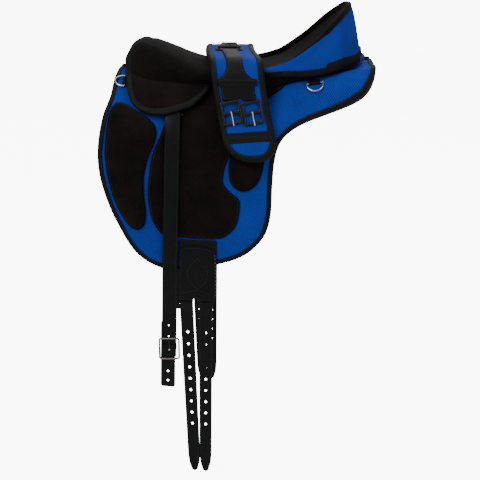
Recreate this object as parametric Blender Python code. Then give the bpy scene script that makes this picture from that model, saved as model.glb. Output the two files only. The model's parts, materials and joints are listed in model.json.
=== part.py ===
"""Treeless saddle: a padded seat and two flaps on an arch, with girth, billets and stirrup straps.

The arch of the saddle is one surface. Each flat piece is drawn as an outline on it, in the
distance along the saddle and the distance down from the ridge, and is laid over it as a slab.
+X runs to the cantle, +Y to the right side of the horse and +Z up. The origin lies on the ridge
line of the spine channel. All lengths are in metres.
"""
import math

import bmesh
import bpy
from mathutils import Matrix, Vector

# Sides of the horse, and the ends of the saddle
SIDES = (("left", -1), ("right", 1))

# Arch of the saddle
ARCH_HALF_WIDTH = 0.178
ARCH_RISE = 0.130
ARCH_TURN = math.radians(84.0)
RIDGE_HEIGHT = 0.016
POMMEL_RISE = 0.021
POMMEL_REACH = 0.270
CANTLE_RISE = 0.035
CANTLE_REACH = 0.280
REAR_BULGE = 0.026
REAR_BULGE_START = 0.030
REAR_BULGE_RUN = 0.090
REAR_BULGE_CENTRE = 0.118
REAR_BULGE_WIDTH = 0.060

# Clearances and merging
GAP = 0.0003
SEAM_GAP = 0.0006
OVERRUN = 0.002
WELD = 0.000001

# Base pad of each side, with its binding
BASE_FRONT = -0.290
BASE_LENGTH = 0.573
FLAP_DROP = 0.497
BASE_THICKNESS = 0.014
BINDING_WIDTH = 0.0105
BINDING_PROUD = 0.0012
SPINE_HALF_GAP = 0.018
SPINE_STRIP_THICKNESS = 0.005
SPINE_STRIP_DROP = 0.001
SPINE_STRIP_FRONT = -0.244
SPINE_STRIP_LENGTH = 0.506
BASE_EDGE_SHARES = (
    (0.054, 0.036), (0.048, 0.17), (0.042, 0.29), (0.018, 0.40), (0.0, 0.53), (0.003, 0.63),
    (0.023, 0.72), (0.06, 0.82), (0.13, 0.944), (0.225, 1.0), (0.325, 0.998), (0.42, 0.972),
    (0.49, 0.948), (0.545, 0.913), (0.595, 0.85), (0.617, 0.765), (0.622, 0.65), (0.63, 0.54),
    (0.65, 0.467), (0.69, 0.42), (0.755, 0.383), (0.907, 0.336), (0.96, 0.30), (0.99, 0.235),
    (1.0, 0.15), (1.0, 0.036),
)

# Panels that rest on the horse's back
PANEL_FRONT = -0.222
PANEL_LENGTH = 0.480
PANEL_TOP = 0.036
PANEL_DROP = 0.116
PANEL_EDGE = 0.008
PANEL_CROWN = 0.020
PANEL_SHARES = (
    (0.0, 0.35), (0.04, 0.10), (0.14, 0.0), (0.5, 0.0), (0.86, 0.0), (0.96, 0.10), (1.0, 0.4),
    (0.97, 0.72), (0.86, 0.94), (0.6, 1.0), (0.35, 1.0), (0.12, 0.92), (0.02, 0.68),
)

# Stiffeners sewn between the base and the seat
POMMEL_ARCH_FRONT = -0.216
POMMEL_ARCH_LENGTH = 0.046
POMMEL_ARCH_HALF_SPAN = 0.098
CANTLE_STIFFENER_INSET = 0.058
CANTLE_STIFFENER_LENGTH = 0.050
CANTLE_STIFFENER_HALF_SPAN = 0.070
STIFFENER_THICKNESS = 0.003
STIFFENER_CORNER_SHARE = 0.25

# Seat cushion
SEAT_FRONT = -0.246
SEAT_LENGTH = 0.503
SEAT_HALF_SPAN = 0.118
SEAT_HALF_WIDTH = 0.132
SEAT_HEIGHT = 0.128
SEAT_LIFT = 0.0044
SEAT_EDGE = 0.015
SEAT_SECTION_SHARES = (
    (0.0, 0.17, 0.11, 0.128, 0.16), (0.012, 0.47, 0.27, 0.206, 0.253), (0.036, 0.72, 0.38, 0.344, 0.41),
    (0.082, 0.85, 0.455, 0.429, 0.522), (0.147, 0.89, 0.57, 0.371, 0.504),
    (0.229, 0.89, 0.68, 0.258, 0.407), (0.31, 0.89, 0.795, 0.138, 0.302), (0.41, 0.865, 0.87, 0.105, 0.222),
    (0.509, 0.89, 0.925, 0.134, 0.199), (0.598, 0.95, 0.985, 0.151, 0.13), (0.64, 0.978, 1.0, 0.178, 0.144),
    (0.688, 1.0, 1.0, 0.231, 0.168), (0.763, 1.0, 0.962, 0.408, 0.246), (0.817, 0.983, 0.894, 0.557, 0.366),
    (0.867, 0.93, 0.76, 0.722, 0.53), (0.903, 0.85, 0.59, 0.828, 0.716), (0.93, 0.72, 0.36, 0.908, 0.883),
    (0.95, 0.635, 0.23, 0.93, 0.969), (0.968, 0.525, 0.21, 0.684, 0.781),
    (0.986, 0.38, 0.167, 0.357, 0.422), (1.0, 0.21, 0.09, 0.131, 0.163),
)
SEAT_STEPS = 1
SEAT_COLUMNS = 4
SEAT_WALL_SHARES = (0.35, 0.7)
SEAT_WALL_BULGE = 0.006
SEAT_RELIEF_SHARE = 0.1

# Rolled edge of the cantle and the binding under its blue cover
RIM_ROLL_RADIUS = 0.0040
COVER_BINDING_HEIGHT = 0.016
COVER_BINDING_THICKNESS = 0.003
COVER_BINDING_GAP = 0.0012
COVER_FRONT = 0.050
COVER_LIFT_RUN = 0.052
COVER_LIFT_SHARE = 0.45
COVER_HEIGHT_SHARE = 0.38

# Suede skirts under the seat's sides
SKIRT_FRONT = -0.2345
SKIRT_LENGTH = 0.1745
SKIRT_DROP = 0.0725
SKIRT_LIFT = 0.0113
SKIRT_THICKNESS = 0.0055
SKIRT_SEAM_SHARE = 0.89
SKIRT_SHARES = (
    (0.0, 0.0), (0.010, 0.189), (0.022, 0.372), (0.043, 0.568), (0.081, 0.807), (0.155, 0.960), (0.250, 1.0),
    (0.345, 0.975), (0.405, 0.941), (0.525, 0.869), (0.645, 0.734), (0.795, 0.463), (0.918, 0.197), (1.0, 0.0),
)

# Knee blocks
KNEE_FRONT = -0.272
KNEE_LENGTH = 0.101
KNEE_TOP = 0.166
KNEE_DROP = 0.251
KNEE_EDGE = 0.010
KNEE_CROWN = 0.018
KNEE_SHARES = (
    (0.03, 0.28), (0.10, 0.10), (0.22, 0.0), (0.38, 0.0), (0.62, 0.055), (0.90, 0.12), (0.99, 0.20),
    (0.93, 0.30), (0.81, 0.42), (0.73, 0.56), (0.72, 0.70), (0.75, 0.84), (0.73, 0.95), (0.60, 1.0),
    (0.44, 0.97), (0.28, 0.88), (0.14, 0.75), (0.04, 0.58), (0.0, 0.42),
)

# Thigh patches of suede over the flaps
PATCH_FRONT = -0.189
PATCH_LENGTH = 0.306
PATCH_TOP = 0.096
PATCH_DROP = 0.331
PATCH_THICKNESS = 0.0032
PATCH_SHARES = (
    (0.27, 0.0), (0.265, 0.17), (0.15, 0.25), (0.085, 0.39), (0.035, 0.50), (0.01, 0.62), (0.0, 0.74),
    (0.01, 0.84), (0.04, 0.93), (0.10, 0.995), (0.20, 1.0), (0.46, 1.0), (0.535, 0.975), (0.585, 0.925),
    (0.61, 0.86), (0.615, 0.76), (0.56, 0.71), (0.505, 0.65), (0.515, 0.56), (0.54, 0.50), (0.65, 0.31),
    (0.80, 0.125), (0.88, 0.088), (0.83, 0.062), (0.72, 0.055), (0.60, 0.0),
)

# Thigh blocks behind the patches
THIGH_FRONT = -0.021
THIGH_LENGTH = 0.068
THIGH_TOP = 0.232
THIGH_DROP = 0.093
THIGH_EDGE = 0.006
THIGH_CROWN = 0.013
THIGH_SHARES = (
    (0.12, 0.10), (0.30, 0.0), (0.70, 0.0), (0.95, 0.08), (1.0, 0.30), (0.93, 0.62), (0.78, 0.86),
    (0.56, 0.98), (0.38, 1.0), (0.15, 0.92), (0.02, 0.72), (0.02, 0.42),
)

# Webbing tab and leather patch that carry the billets
TAB_FRONT = -0.126
TAB_LENGTH = 0.078
TAB_TOP = 0.431
TAB_DROP = 0.035
LEATHER_PATCH_FRONT = -0.126
LEATHER_PATCH_LENGTH = 0.077
LEATHER_PATCH_TOP = 0.444
LEATHER_PATCH_DROP = 0.116
LEATHER_PATCH_THICKNESS = 0.003
LEATHER_PATCH_SHARES = (
    (0.0, 0.12), (0.08, 0.05), (0.22, 0.01), (0.5, 0.0), (0.78, 0.03), (0.95, 0.11), (1.0, 0.22),
    (1.0, 0.90), (0.92, 1.0), (0.51, 1.0), (0.51, 0.965), (0.44, 0.935), (0.37, 0.965), (0.37, 1.0),
    (0.0, 1.0),
)

# Billets
BILLET_WIDTH = 0.028
BILLET_THICKNESS = 0.0035
BILLET_LENGTH = 0.402
BILLET_TIP = 0.030
BILLET_TAPER_SHARE = 0.86
BILLET_POINT_SHARE = 0.3
BILLET_CLEARANCE = 0.0011
BILLET_TOP_SHARES = (0.25, 0.5, 0.75, 1.0)
BILLET_HOLE_RADIUS = 0.0027
BILLET_HOLE_PITCH = 0.027
BILLET_HOLE_COUNT = 9
BILLET_FIRST_HOLE = 0.068
BILLET_PLACES = (("front", -0.112, 0.030), ("rear", -0.0715, -0.012))

# Stirrup rings, webbing, leathers and buckles
STIRRUP_X = -0.136
RING_INNER_WIDTH = 0.037
RING_WIRE_RADIUS = 0.002
RING_CORNER = 0.003
RING_TOP = 0.150
RING_BAR = 0.1785
RING_TOP_LIFT = 0.0055
RING_BAR_LIFT = 0.0095
WEBBING_WIDTH = 0.029
WEBBING_THICKNESS = 0.0018
WEBBING_LIFT = 0.0015
WEBBING_TAIL = 0.124
STIRRUP_STRAP_WIDTH = 0.031
STIRRUP_STRAP_THICKNESS = 0.0028
STIRRUP_STRAP_LEAN = -0.030
STIRRUP_STRAP_END = 0.765
STIRRUP_TAIL = 0.225
STIRRUP_HANG = 0.500
STIRRUP_HANG_LIFT = 0.0072
BUCKLE_TOP = 0.650
BUCKLE_HEIGHT = 0.050
BUCKLE_WIDTH = 0.042
BUCKLE_WIRE_RADIUS = 0.0018
BUCKLE_CORNER = 0.008
STIRRUP_HOLES = (0.621, 0.646, 0.728, 0.750)
STIRRUP_HOLE_RADIUS = 0.0022
TONGUE_RADIUS = 0.0013
TONGUE_REACH_SHARE = 0.52

# D rings and their keepers
D_WIDTH = 0.037
D_DEPTH = 0.019
D_WIRE_RADIUS = 0.0018
REAR_D_LIFT = 0.0044
FRONT_D_LIFT = 0.0042
D_STEPS = 8
KEEPER_WIDTH = 0.024
KEEPER_LENGTH = 0.008
KEEPER_THICKNESS = 0.0014
KEEPER_WRAP = math.radians(270.0)
FRONT_D_X = -0.2395
FRONT_D_DROP = 0.1015
REAR_D_X = 0.152
REAR_D_DROP = 0.1255

# Girth laid over the seat
GIRTH_WIDTH = 0.108
GIRTH_THICKNESS = 0.013
GIRTH_HALF_LENGTH = 0.338
GIRTH_CORNER = 0.046
GIRTH_BINDING_WIDTH = 0.013
GIRTH_CENTRE = -0.020
GIRTH_LEAN = 0.05
GIRTH_CURVE = 0.091
GIRTH_HALF_SPAN = 0.214
GIRTH_TOP = 0.0545
GIRTH_FALL = 0.216
GIRTH_PATH_SHARES = (
    (0.0, 0.0), (0.30, 0.0), (0.54, 0.005), (0.64, 0.02), (0.695, 0.06), (0.72, 0.12), (0.735, 0.20),
    (0.755, 0.30), (0.79, 0.45), (0.86, 0.61), (0.925, 0.765), (0.975, 0.90), (1.0, 1.0),
)
GIRTH_STRAP_TOP = 0.008
GIRTH_STRAP_NARROW = 0.031
GIRTH_STRAP_WIDE = 0.068
GIRTH_STRAP_FLARE = 0.166
GIRTH_STRAP_END = 0.2085
GIRTH_STRAP_THICKNESS = 0.003
GIRTH_STRAP_OFFSET = -0.004
GIRTH_BUCKLE_WIDTH = 0.037
GIRTH_BUCKLE_HEIGHT = 0.048
GIRTH_BUCKLE_BAR = 0.0036
GIRTH_BUCKLE_THICKNESS = 0.003
GIRTH_BUCKLE_SPACING = 0.042
GIRTH_BUCKLE_GAP = 0.0045
GIRTH_TONGUE_WIDTH = 0.0034
GIRTH_TONGUE_LENGTH = 0.026
GIRTH_TONGUE_ROOT = 0.0008
GIRTH_RING_PLACE = -0.010
GIRTH_RING_WIDTH = 0.046
GIRTH_RING_HEIGHT = 0.020
GIRTH_RING_RADIUS = 0.0024

# Fineness of the faceted surfaces
FACET_RUN = 0.060
FACET_DROP = 0.0325
CURVE_STEPS = 2
HOLE_SIDES = 8
WIRE_SIDES = 8
CUSHION_RING = 0.007
ARC_STEPS = 6
SHARP_ANGLE = math.radians(40.0)


def finish(name, colour, roughness, metallic=0.0):
    """A material with one colour, roughness and metallic value."""
    material = bpy.data.materials.new(name)
    material.use_nodes = True
    shader = material.node_tree.nodes["Principled BSDF"]
    shader.inputs["Base Color"].default_value = (*colour, 1.0)
    shader.inputs["Roughness"].default_value = roughness
    shader.inputs["Metallic"].default_value = metallic
    return material


def arch_lengths():
    """Distances down the curved part of the arch, each with its angle."""
    steps = 60
    table = [(0.0, 0.0)]
    for step in range(steps):
        middle = ARCH_TURN * (step + 0.5) / steps
        speed = math.hypot(ARCH_HALF_WIDTH * math.cos(middle), ARCH_RISE * math.sin(middle))
        table.append((table[-1][0] + speed * ARCH_TURN / steps, ARCH_TURN * (step + 1) / steps))
    return table


ARCH_LENGTHS = arch_lengths()


def arch_section(distance):
    """Half width, drop and outward normal of the arch, a distance down from the ridge."""
    turn = ARCH_TURN
    beyond = distance - ARCH_LENGTHS[-1][0]
    if beyond < 0.0:
        for (near, near_turn), (far, far_turn) in zip(ARCH_LENGTHS, ARCH_LENGTHS[1:]):
            if distance <= far:
                turn = near_turn + (far_turn - near_turn) * (distance - near) / (far - near)
                break
    run = Vector((ARCH_HALF_WIDTH * math.cos(turn), ARCH_RISE * math.sin(turn))).normalized()
    width = ARCH_HALF_WIDTH * math.sin(turn) + max(beyond, 0.0) * run.x
    drop = ARCH_RISE * (1.0 - math.cos(turn)) + max(beyond, 0.0) * run.y
    return width, drop, run.y, run.x


def ramp(share):
    """A smooth step from 0 to 1."""
    share = min(max(share, 0.0), 1.0)
    return share * share * (3.0 - 2.0 * share)


def ridge(x):
    """Height of the ridge line, which rises to the pommel and to the cantle."""
    if x < 0.0:
        return RIDGE_HEIGHT + POMMEL_RISE * (x / POMMEL_REACH) ** 2
    return RIDGE_HEIGHT + CANTLE_RISE * (x / CANTLE_REACH) ** 2


def bulge(x, distance):
    """Extra padding of the base beside the spine, under the cantle."""
    along = ramp((x - REAR_BULGE_START) / REAR_BULGE_RUN)
    across = ramp(1.0 - abs(distance - REAR_BULGE_CENTRE) / REAR_BULGE_WIDTH)
    return REAR_BULGE * along * across


def plain_arch(x, distance, lift):
    """A point over the arch without the padding under the cantle."""
    width, drop, normal_y, normal_z = arch_section(distance)
    return Vector((x, width + lift * normal_y, ridge(x) - drop + lift * normal_z))


def padded_arch(x, distance, lift):
    """A point over the arch and the padding under the cantle."""
    return plain_arch(x, distance, lift + bulge(x, distance))


def girth_samples():
    """Points of the girth's middle line on one side, each with its distance from the top."""
    shares = smooth(GIRTH_PATH_SHARES, steps=6)
    points = [Vector((GIRTH_HALF_SPAN * across, GIRTH_TOP - GIRTH_FALL * down)) for across, down in shares]
    table = [(0.0, points[0])]
    for before, after in zip(points, points[1:]):
        table.append((table[-1][0] + (after - before).length, after))
    return table


def girth_point(x, distance, lift):
    """A point over the underside of the girth, a distance down one side from its top."""
    (near, start), (far, end) = GIRTH_SAMPLES[-2:]
    for (before, low), (after, high) in zip(GIRTH_SAMPLES, GIRTH_SAMPLES[1:]):
        if distance <= after:
            near, start, far, end = before, low, after, high
            break
    run = (end - start) / (far - near)
    point = start + run * (distance - near)
    return Vector((x, point.x - run.y * lift, point.y + run.x * lift))


def faceted(surface):
    """A surface made of flat facets on one grid, which every piece on it shares."""
    def place(x, distance, lift):
        side = math.copysign(1.0, distance)
        along, down = x / FACET_RUN, abs(distance) / FACET_DROP
        column, row = math.floor(along), math.floor(down)
        u, v = along - column, down - row
        if u + v <= 1.0:
            corners = ((0, 0, 1.0 - u - v), (1, 0, u), (0, 1, v))
        else:
            corners = ((1, 1, u + v - 1.0), (0, 1, 1.0 - u), (1, 0, 1.0 - v))
        point = Vector((0.0, 0.0, 0.0))
        for right, below, weight in corners:
            point += weight * surface((column + right) * FACET_RUN, (row + below) * FACET_DROP, lift)
        point.y *= side
        return point
    return place


def leaning_girth(place):
    """The girth's surface, whose middle line leans and curves along the saddle."""
    def lean(x, distance, lift):
        line = distance / FACET_DROP
        row = math.floor(line)
        shifts = [GIRTH_LEAN * -at + GIRTH_CURVE * at ** 2 / GIRTH_HALF_LENGTH
                  for at in (row * FACET_DROP, (row + 1) * FACET_DROP)]
        shift = shifts[0] + (shifts[1] - shifts[0]) * (line - row)
        point = place(x, distance, lift)
        point.x += GIRTH_CENTRE + shift
        return point
    return lean


def side_of(place, side):
    """The same surface, with its distances counted down one side."""
    return lambda x, distance, lift: place(x, side * distance, lift)


def frame_at(place, x, distance, lift):
    """A place on a surface with its directions along the saddle, down the arch and outward."""
    step = SEAM_GAP
    origin = place(x, distance, lift)
    along = place(x + step, distance, lift) - place(x - step, distance, lift)
    down = place(x, distance + step, lift) - place(x, distance - step, lift)
    out = along.cross(down)
    out = out if out.dot(place(x, distance, lift + step) - origin) > 0.0 else -out
    return origin, along, down, out


def outward(along, down, side):
    """The direction square to two directions in a surface, to one side of the saddle."""
    out = along.cross(down).normalized()
    return out if out.y * side > 0.0 else -out


def matrix_of(origin, across, down, out):
    """The matrix that takes a flat piece's across, down and outward distances to its place."""
    across = across.normalized()
    out = (out - across * out.dot(across)).normalized()
    across = across if out.cross(across).dot(down) > 0.0 else -across
    columns = Matrix((across, out.cross(across), out)).transposed()
    return Matrix.Translation(origin) @ columns.to_4x4()


def smooth(points, closed=False, steps=None):
    """Points of a smooth curve through the given ones."""
    steps = steps or CURVE_STEPS
    count = len(points)
    samples = []
    for span in range(count if closed else count - 1):
        if closed:
            near = [points[(span + k - 1) % count] for k in range(4)]
        else:
            near = [points[min(max(span + k - 1, 0), count - 1)] for k in range(4)]
        for step in range(steps):
            t = step / steps
            samples.append(tuple(
                0.5 * (2 * b + (c - a) * t + (2 * a - 5 * b + 4 * c - d) * t * t
                       + (3 * b - a - 3 * c + d) * t ** 3)
                for a, b, c, d in zip(*near)))
    if not closed:
        samples.append(tuple(points[-1]))
    return samples


def sized(shares, start, size):
    """Outline points from their shares of a size."""
    return [tuple(begin + share * length for begin, share, length in zip(start, point, size))
            for point in shares]


def beside(points, offset, closed=False):
    """A path moved sideways by an offset, to its left when positive."""
    count = len(points)
    moved = []
    for index, point in enumerate(points):
        before = points[(index - 1) % count] if closed else points[max(index - 1, 0)]
        after = points[(index + 1) % count] if closed else points[min(index + 1, count - 1)]
        run = Vector((after[0] - before[0], after[1] - before[1])).normalized()
        moved.append((point[0] - run.y * offset, point[1] + run.x * offset))
    return moved


def rounded_box(width, height, corner, steps=2):
    """A rectangle with round corners, about its own centre."""
    points = []
    for turn, (u, v) in enumerate(((1, 1), (-1, 1), (-1, -1), (1, -1))):
        for step in range(steps + 1):
            angle = math.pi / 2 * (turn + step / steps)
            points.append((u * (width / 2 - corner) + corner * math.cos(angle),
                           v * (height / 2 - corner) + corner * math.sin(angle)))
    return points


def moved_by(points, shift):
    """A flat outline moved by a shift."""
    return [(a + shift[0], b + shift[1]) for a, b in points]


def level(value):
    """The same lift all over a piece."""
    return lambda x, distance: value


def edge_distance(outline, x, distance):
    """Distance from a point to an outline."""
    point = Vector((x, distance))
    away = []
    for start, end in zip(outline, outline[1:] + outline[:1]):
        start, run = Vector(start), Vector(end) - Vector(start)
        along = min(max((point - start).dot(run) / max(run.length_squared, WELD ** 2), 0.0), 1.0)
        away.append((start + run * along - point).length)
    return min(away)


def crowned(outline, edge, rise, reach):
    """A lift that swells from the outline's edge to its middle."""
    def lift(x, distance):
        inward = min(edge_distance(outline, x, distance) / reach, 1.0)
        return edge + rise * math.sin(inward * math.pi / 2)
    return lift


def add_object(name, data, material):
    """Put a piece into the saddle's collection."""
    piece = bpy.data.objects.new(name, data)
    data.materials.append(material)
    PARTS.objects.link(piece)
    return piece


def closed_mesh(name, cage, material):
    """Finish a closed bmesh as an object, shaded smooth between soft edges."""
    bmesh.ops.triangulate(cage, faces=cage.faces[:])
    bmesh.ops.recalc_face_normals(cage, faces=cage.faces[:])
    mesh = bpy.data.meshes.new(name)
    cage.to_mesh(mesh)
    cage.free()
    mesh.shade_smooth()
    mesh.set_sharp_from_angle(angle=SHARP_ANGLE)
    return add_object(name, mesh, material)


def cut_grid(cage, fineness):
    """Cut a flat cage along the shared grid: its rows, its columns and its diagonals."""
    families = [Vector((0.0, 1.0 / FACET_DROP, 0.0)), Vector((1.0 / FACET_RUN, 0.0, 0.0)),
                Vector((1.0 / FACET_RUN, 1.0 / FACET_DROP, 0.0))]
    if min(vertex.co.y for vertex in cage.verts) < 0.0:
        families.append(Vector((1.0 / FACET_RUN, -1.0 / FACET_DROP, 0.0)))
    for family in families:
        reach = [family.dot(vertex.co) * fineness for vertex in cage.verts]
        for line in range(math.ceil(min(reach)), math.floor(max(reach)) + 1):
            everything = cage.verts[:] + cage.edges[:] + cage.faces[:]
            at = family * line / (fineness * family.length_squared)
            bmesh.ops.bisect_plane(cage, geom=everything, dist=WELD, plane_co=at, plane_no=family)


def draped(name, outline, place, low, high, material, fineness=1, rings=0):
    """Lay a flat outline over a surface as a closed slab between two lifts."""
    cage = bmesh.new()
    middle = cage.faces.new([cage.verts.new((x, distance, 0.0)) for x, distance in outline])
    for _ in range(rings):
        bmesh.ops.inset_region(cage, faces=[middle], thickness=CUSHION_RING)
    cut_grid(cage, fineness)
    bmesh.ops.triangulate(cage, faces=cage.faces[:])
    raised = bmesh.ops.extrude_face_region(cage, geom=cage.faces[:])["geom"]
    raised = {vertex for vertex in raised if isinstance(vertex, bmesh.types.BMVert)}
    for vertex in cage.verts:
        x, distance = vertex.co.x, vertex.co.y
        lift = high if vertex in raised else low
        vertex.co = place(x, distance, lift(x, distance))
    return closed_mesh(name, cage, material)


def lofted(name, rings, material, closed=False):
    """Join rings of points into one closed body."""
    cage = bmesh.new()
    loops = [[cage.verts.new(point) for point in ring] for ring in rings]
    pairs = list(zip(loops, loops[1:]))
    if closed:
        pairs.append((loops[-1], loops[0]))
    for first, second in pairs:
        for index in range(len(first)):
            after = (index + 1) % len(first)
            cage.faces.new((first[index], first[after], second[after], second[index]))
    if not closed:
        cage.faces.new(loops[0])
        cage.faces.new(loops[-1])
    return closed_mesh(name, cage, material)


def banded(name, path, width, place, low, high, material, closed=False):
    """A flat band beside a path on a surface."""
    inner = beside(path, width, closed)
    rings = [(place(*a, low), place(*a, high), place(*b, high), place(*b, low))
             for a, b in zip(path, inner)]
    return lofted(name, rings, material, closed)


def with_rows(path, axis):
    """A path with a point wherever it crosses a row of the shared grid."""
    split = [path[0]]
    for start, end in zip(path, path[1:]):
        low, high = sorted((start[axis], end[axis]))
        first, last = math.ceil(low / FACET_DROP), math.floor(high / FACET_DROP)
        rows = [row * FACET_DROP for row in range(first, last + 1)]
        rows = [row for row in rows if low + WELD < row < high - WELD]
        for row in rows if end[axis] > start[axis] else rows[::-1]:
            share = (row - start[axis]) / (end[axis] - start[axis])
            split.append(tuple(a + (b - a) * share for a, b in zip(start, end)))
        split.append(end)
    return split


def folded(name, path, thickness, width, x, place, material):
    """A strip folded along a path of distances and lifts, of even thickness and width."""
    path = with_rows(path, 0)
    left, right = x - width / 2, x + width / 2
    rings = [(place(left, *low), place(right, *low), place(right, *high), place(left, *high))
             for low, high in zip(beside(path, -thickness / 2), beside(path, thickness / 2))]
    return lofted(name, rings, material)


def round_bar(distance, lift, radius, start, turn):
    """Points of an arc round a bar, in distances and lifts."""
    return [(distance + radius * math.cos(start + turn * step / ARC_STEPS),
             lift + radius * math.sin(start + turn * step / ARC_STEPS))
            for step in range(ARC_STEPS + 1)]


def wire(name, points, radius, matrix, material, closed=True):
    """A bent wire of round section."""
    curve = bpy.data.curves.new(name, "CURVE")
    curve.dimensions = "3D"
    curve.bevel_depth = radius
    curve.bevel_resolution = 1
    curve.use_fill_caps = True
    spline = curve.splines.new("POLY")
    spline.points.add(len(points) - 1)
    for control, point in zip(spline.points, points):
        control.co = (point[0], point[1], point[2] if len(point) > 2 else 0.0, 1.0)
    spline.use_cyclic_u = closed
    piece = add_object(name, curve, material)
    piece.matrix_world = matrix
    return piece


def plate(name, outline, windows, thickness, matrix, material):
    """A flat plate with windows, lying across its frame."""
    curve = bpy.data.curves.new(name, "CURVE")
    curve.dimensions = "2D"
    curve.fill_mode = "BOTH"
    curve.extrude = thickness / 2
    for loop in (outline, *windows):
        spline = curve.splines.new("POLY")
        spline.points.add(len(loop) - 1)
        for control, (across, down) in zip(spline.points, loop):
            control.co = (across, down, 0.0, 1.0)
        spline.use_cyclic_u = True
    piece = add_object(name, curve, material)
    piece.matrix_world = matrix
    return piece


def move_origin(piece, point):
    """Put a piece's origin on its joint's axis."""
    shift = piece.matrix_world.inverted() @ point
    piece.data.transform(Matrix.Translation(-shift))
    piece.matrix_world = Matrix.Translation(point - piece.matrix_world.translation) @ piece.matrix_world


def punch(piece, centres, out, radius, depth):
    """Cut round holes through a strap."""
    cage = bmesh.new()
    turn = out.to_track_quat("Z", "Y").to_matrix().to_4x4()
    for centre in centres:
        bmesh.ops.create_cone(cage, cap_ends=True, segments=HOLE_SIDES, radius1=radius, radius2=radius,
                              depth=depth, matrix=Matrix.Translation(centre) @ turn)
    mesh = bpy.data.meshes.new(piece.name + "_holes")
    cage.to_mesh(mesh)
    cage.free()
    cutter = bpy.data.objects.new(piece.name + "_holes", mesh)
    cutter.hide_render = True
    cutter.display_type = "WIRE"
    CUTTERS.objects.link(cutter)
    cut = piece.modifiers.new("holes", "BOOLEAN")
    cut.operation = "DIFFERENCE"
    cut.object = cutter


def build_base(side_name, side):
    """One half of the base pad, with its binding and its panel underneath."""
    place = side_of(on_pad, side)
    under = side_of(on_arch, side)
    edge = smooth(sized(BASE_EDGE_SHARES, (BASE_FRONT, 0.0), (BASE_LENGTH, FLAP_DROP)))
    edge[0] = (edge[0][0], SPINE_HALF_GAP)
    edge[-1] = (edge[-1][0], SPINE_HALF_GAP)
    inner = beside(edge, -BINDING_WIDTH - SEAM_GAP)
    inner[0] = (inner[0][0], SPINE_HALF_GAP)
    inner[-1] = (inner[-1][0], SPINE_HALF_GAP)

    def surface(x, distance, lift):
        return place(x, distance, lift) if lift > -BASE_THICKNESS / 2 else under(x, distance, lift)

    draped("base_" + side_name, inner, surface, level(-BASE_THICKNESS), level(0.0), BLUE_MESH)
    banded("flap_binding_" + side_name, edge, -BINDING_WIDTH, surface,
           -BASE_THICKNESS - BINDING_PROUD, BINDING_PROUD, BINDING_TAPE)
    outline = smooth(sized(PANEL_SHARES, (PANEL_FRONT, PANEL_TOP), (PANEL_LENGTH, PANEL_DROP)), True)
    top = -BASE_THICKNESS - GAP
    swell = crowned(outline, PANEL_EDGE, PANEL_CROWN, PANEL_DROP / 2)
    draped("panel_" + side_name, outline, under, lambda x, d: top - swell(x, d), level(top), PANEL_FELT)


def build_spine():
    """The strip over the spine channel, which joins the halves of the base."""
    half = SPINE_HALF_GAP - GAP
    outline = moved_by(rounded_box(SPINE_STRIP_LENGTH, 2 * half, half, 1),
                       (SPINE_STRIP_FRONT + SPINE_STRIP_LENGTH / 2, 0.0))
    top = -SPINE_STRIP_DROP
    draped("spine_strip", outline, on_arch, level(top - SPINE_STRIP_THICKNESS), level(top), BINDING_TAPE)


def build_stiffener(name, front, length, half_span):
    """A board between the base and the seat, bent over the arch."""
    outline = moved_by(rounded_box(length, half_span * 2, length * STIFFENER_CORNER_SHARE),
                       (front + length / 2, 0.0))
    draped(name, outline, on_pad, level(GAP), level(GAP + STIFFENER_THICKNESS), STIFFENER)


def seat_sections():
    """Sections of the seat: place, half span, rim width, and the rim and the middle over the ridge line."""
    size = (SEAT_LENGTH, SEAT_HALF_SPAN, SEAT_HALF_WIDTH, SEAT_HEIGHT, SEAT_HEIGHT)
    start = (SEAT_FRONT, 0.0, 0.0, 0.0, 0.0)
    return [(x, span, width, ridge(x) + rim, ridge(x) + middle)
            for x, span, width, rim, middle in smooth(sized(SEAT_SECTION_SHARES, start, size), steps=SEAT_STEPS)]


def wall_point(foot, rim, share):
    """A point of the seat's wall on the right side, a share of the way up from its foot."""
    point = foot.lerp(rim, share)
    point.y += SEAT_WALL_BULGE * math.sin(share * math.pi)
    return point


def seat_half(x, span, rim_width, rim_height, middle):
    """The top of a section on the right side, from the foot of the seat to its middle."""
    foot = on_pad(x, span, SEAT_EDGE)
    rim = Vector((x, rim_width, rim_height))
    points = [wall_point(foot, rim, share) for share in (0.0, *SEAT_WALL_SHARES)]
    for column in range(SEAT_COLUMNS):
        across = 1.0 - column / SEAT_COLUMNS
        points.append(Vector((x, rim_width * across, middle + (rim_height - middle) * across ** 2)))
    return points


def build_seat():
    """The padded seat, from the pommel to the cantle."""
    rings = []
    rows = range(1, math.ceil(SEAT_HALF_SPAN / FACET_DROP))
    for x, span, rim_width, rim_height, middle in seat_sections():
        right = seat_half(x, span, rim_width, rim_height, middle)
        left = [Vector((point.x, -point.y, point.z)) for point in right]
        reach = [min(FACET_DROP * row, span * row / len(rows)) for row in rows] + [span]
        under = [on_pad(x, distance, SEAT_LIFT + bulge(x, distance) * SEAT_RELIEF_SHARE)
                 for distance in reach[::-1] + [0.0] + [-distance for distance in reach]]
        rings.append(left + [Vector((x, 0.0, middle))] + right[::-1] + under)
    lofted("seat_cushion", rings, SUEDE)


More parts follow.
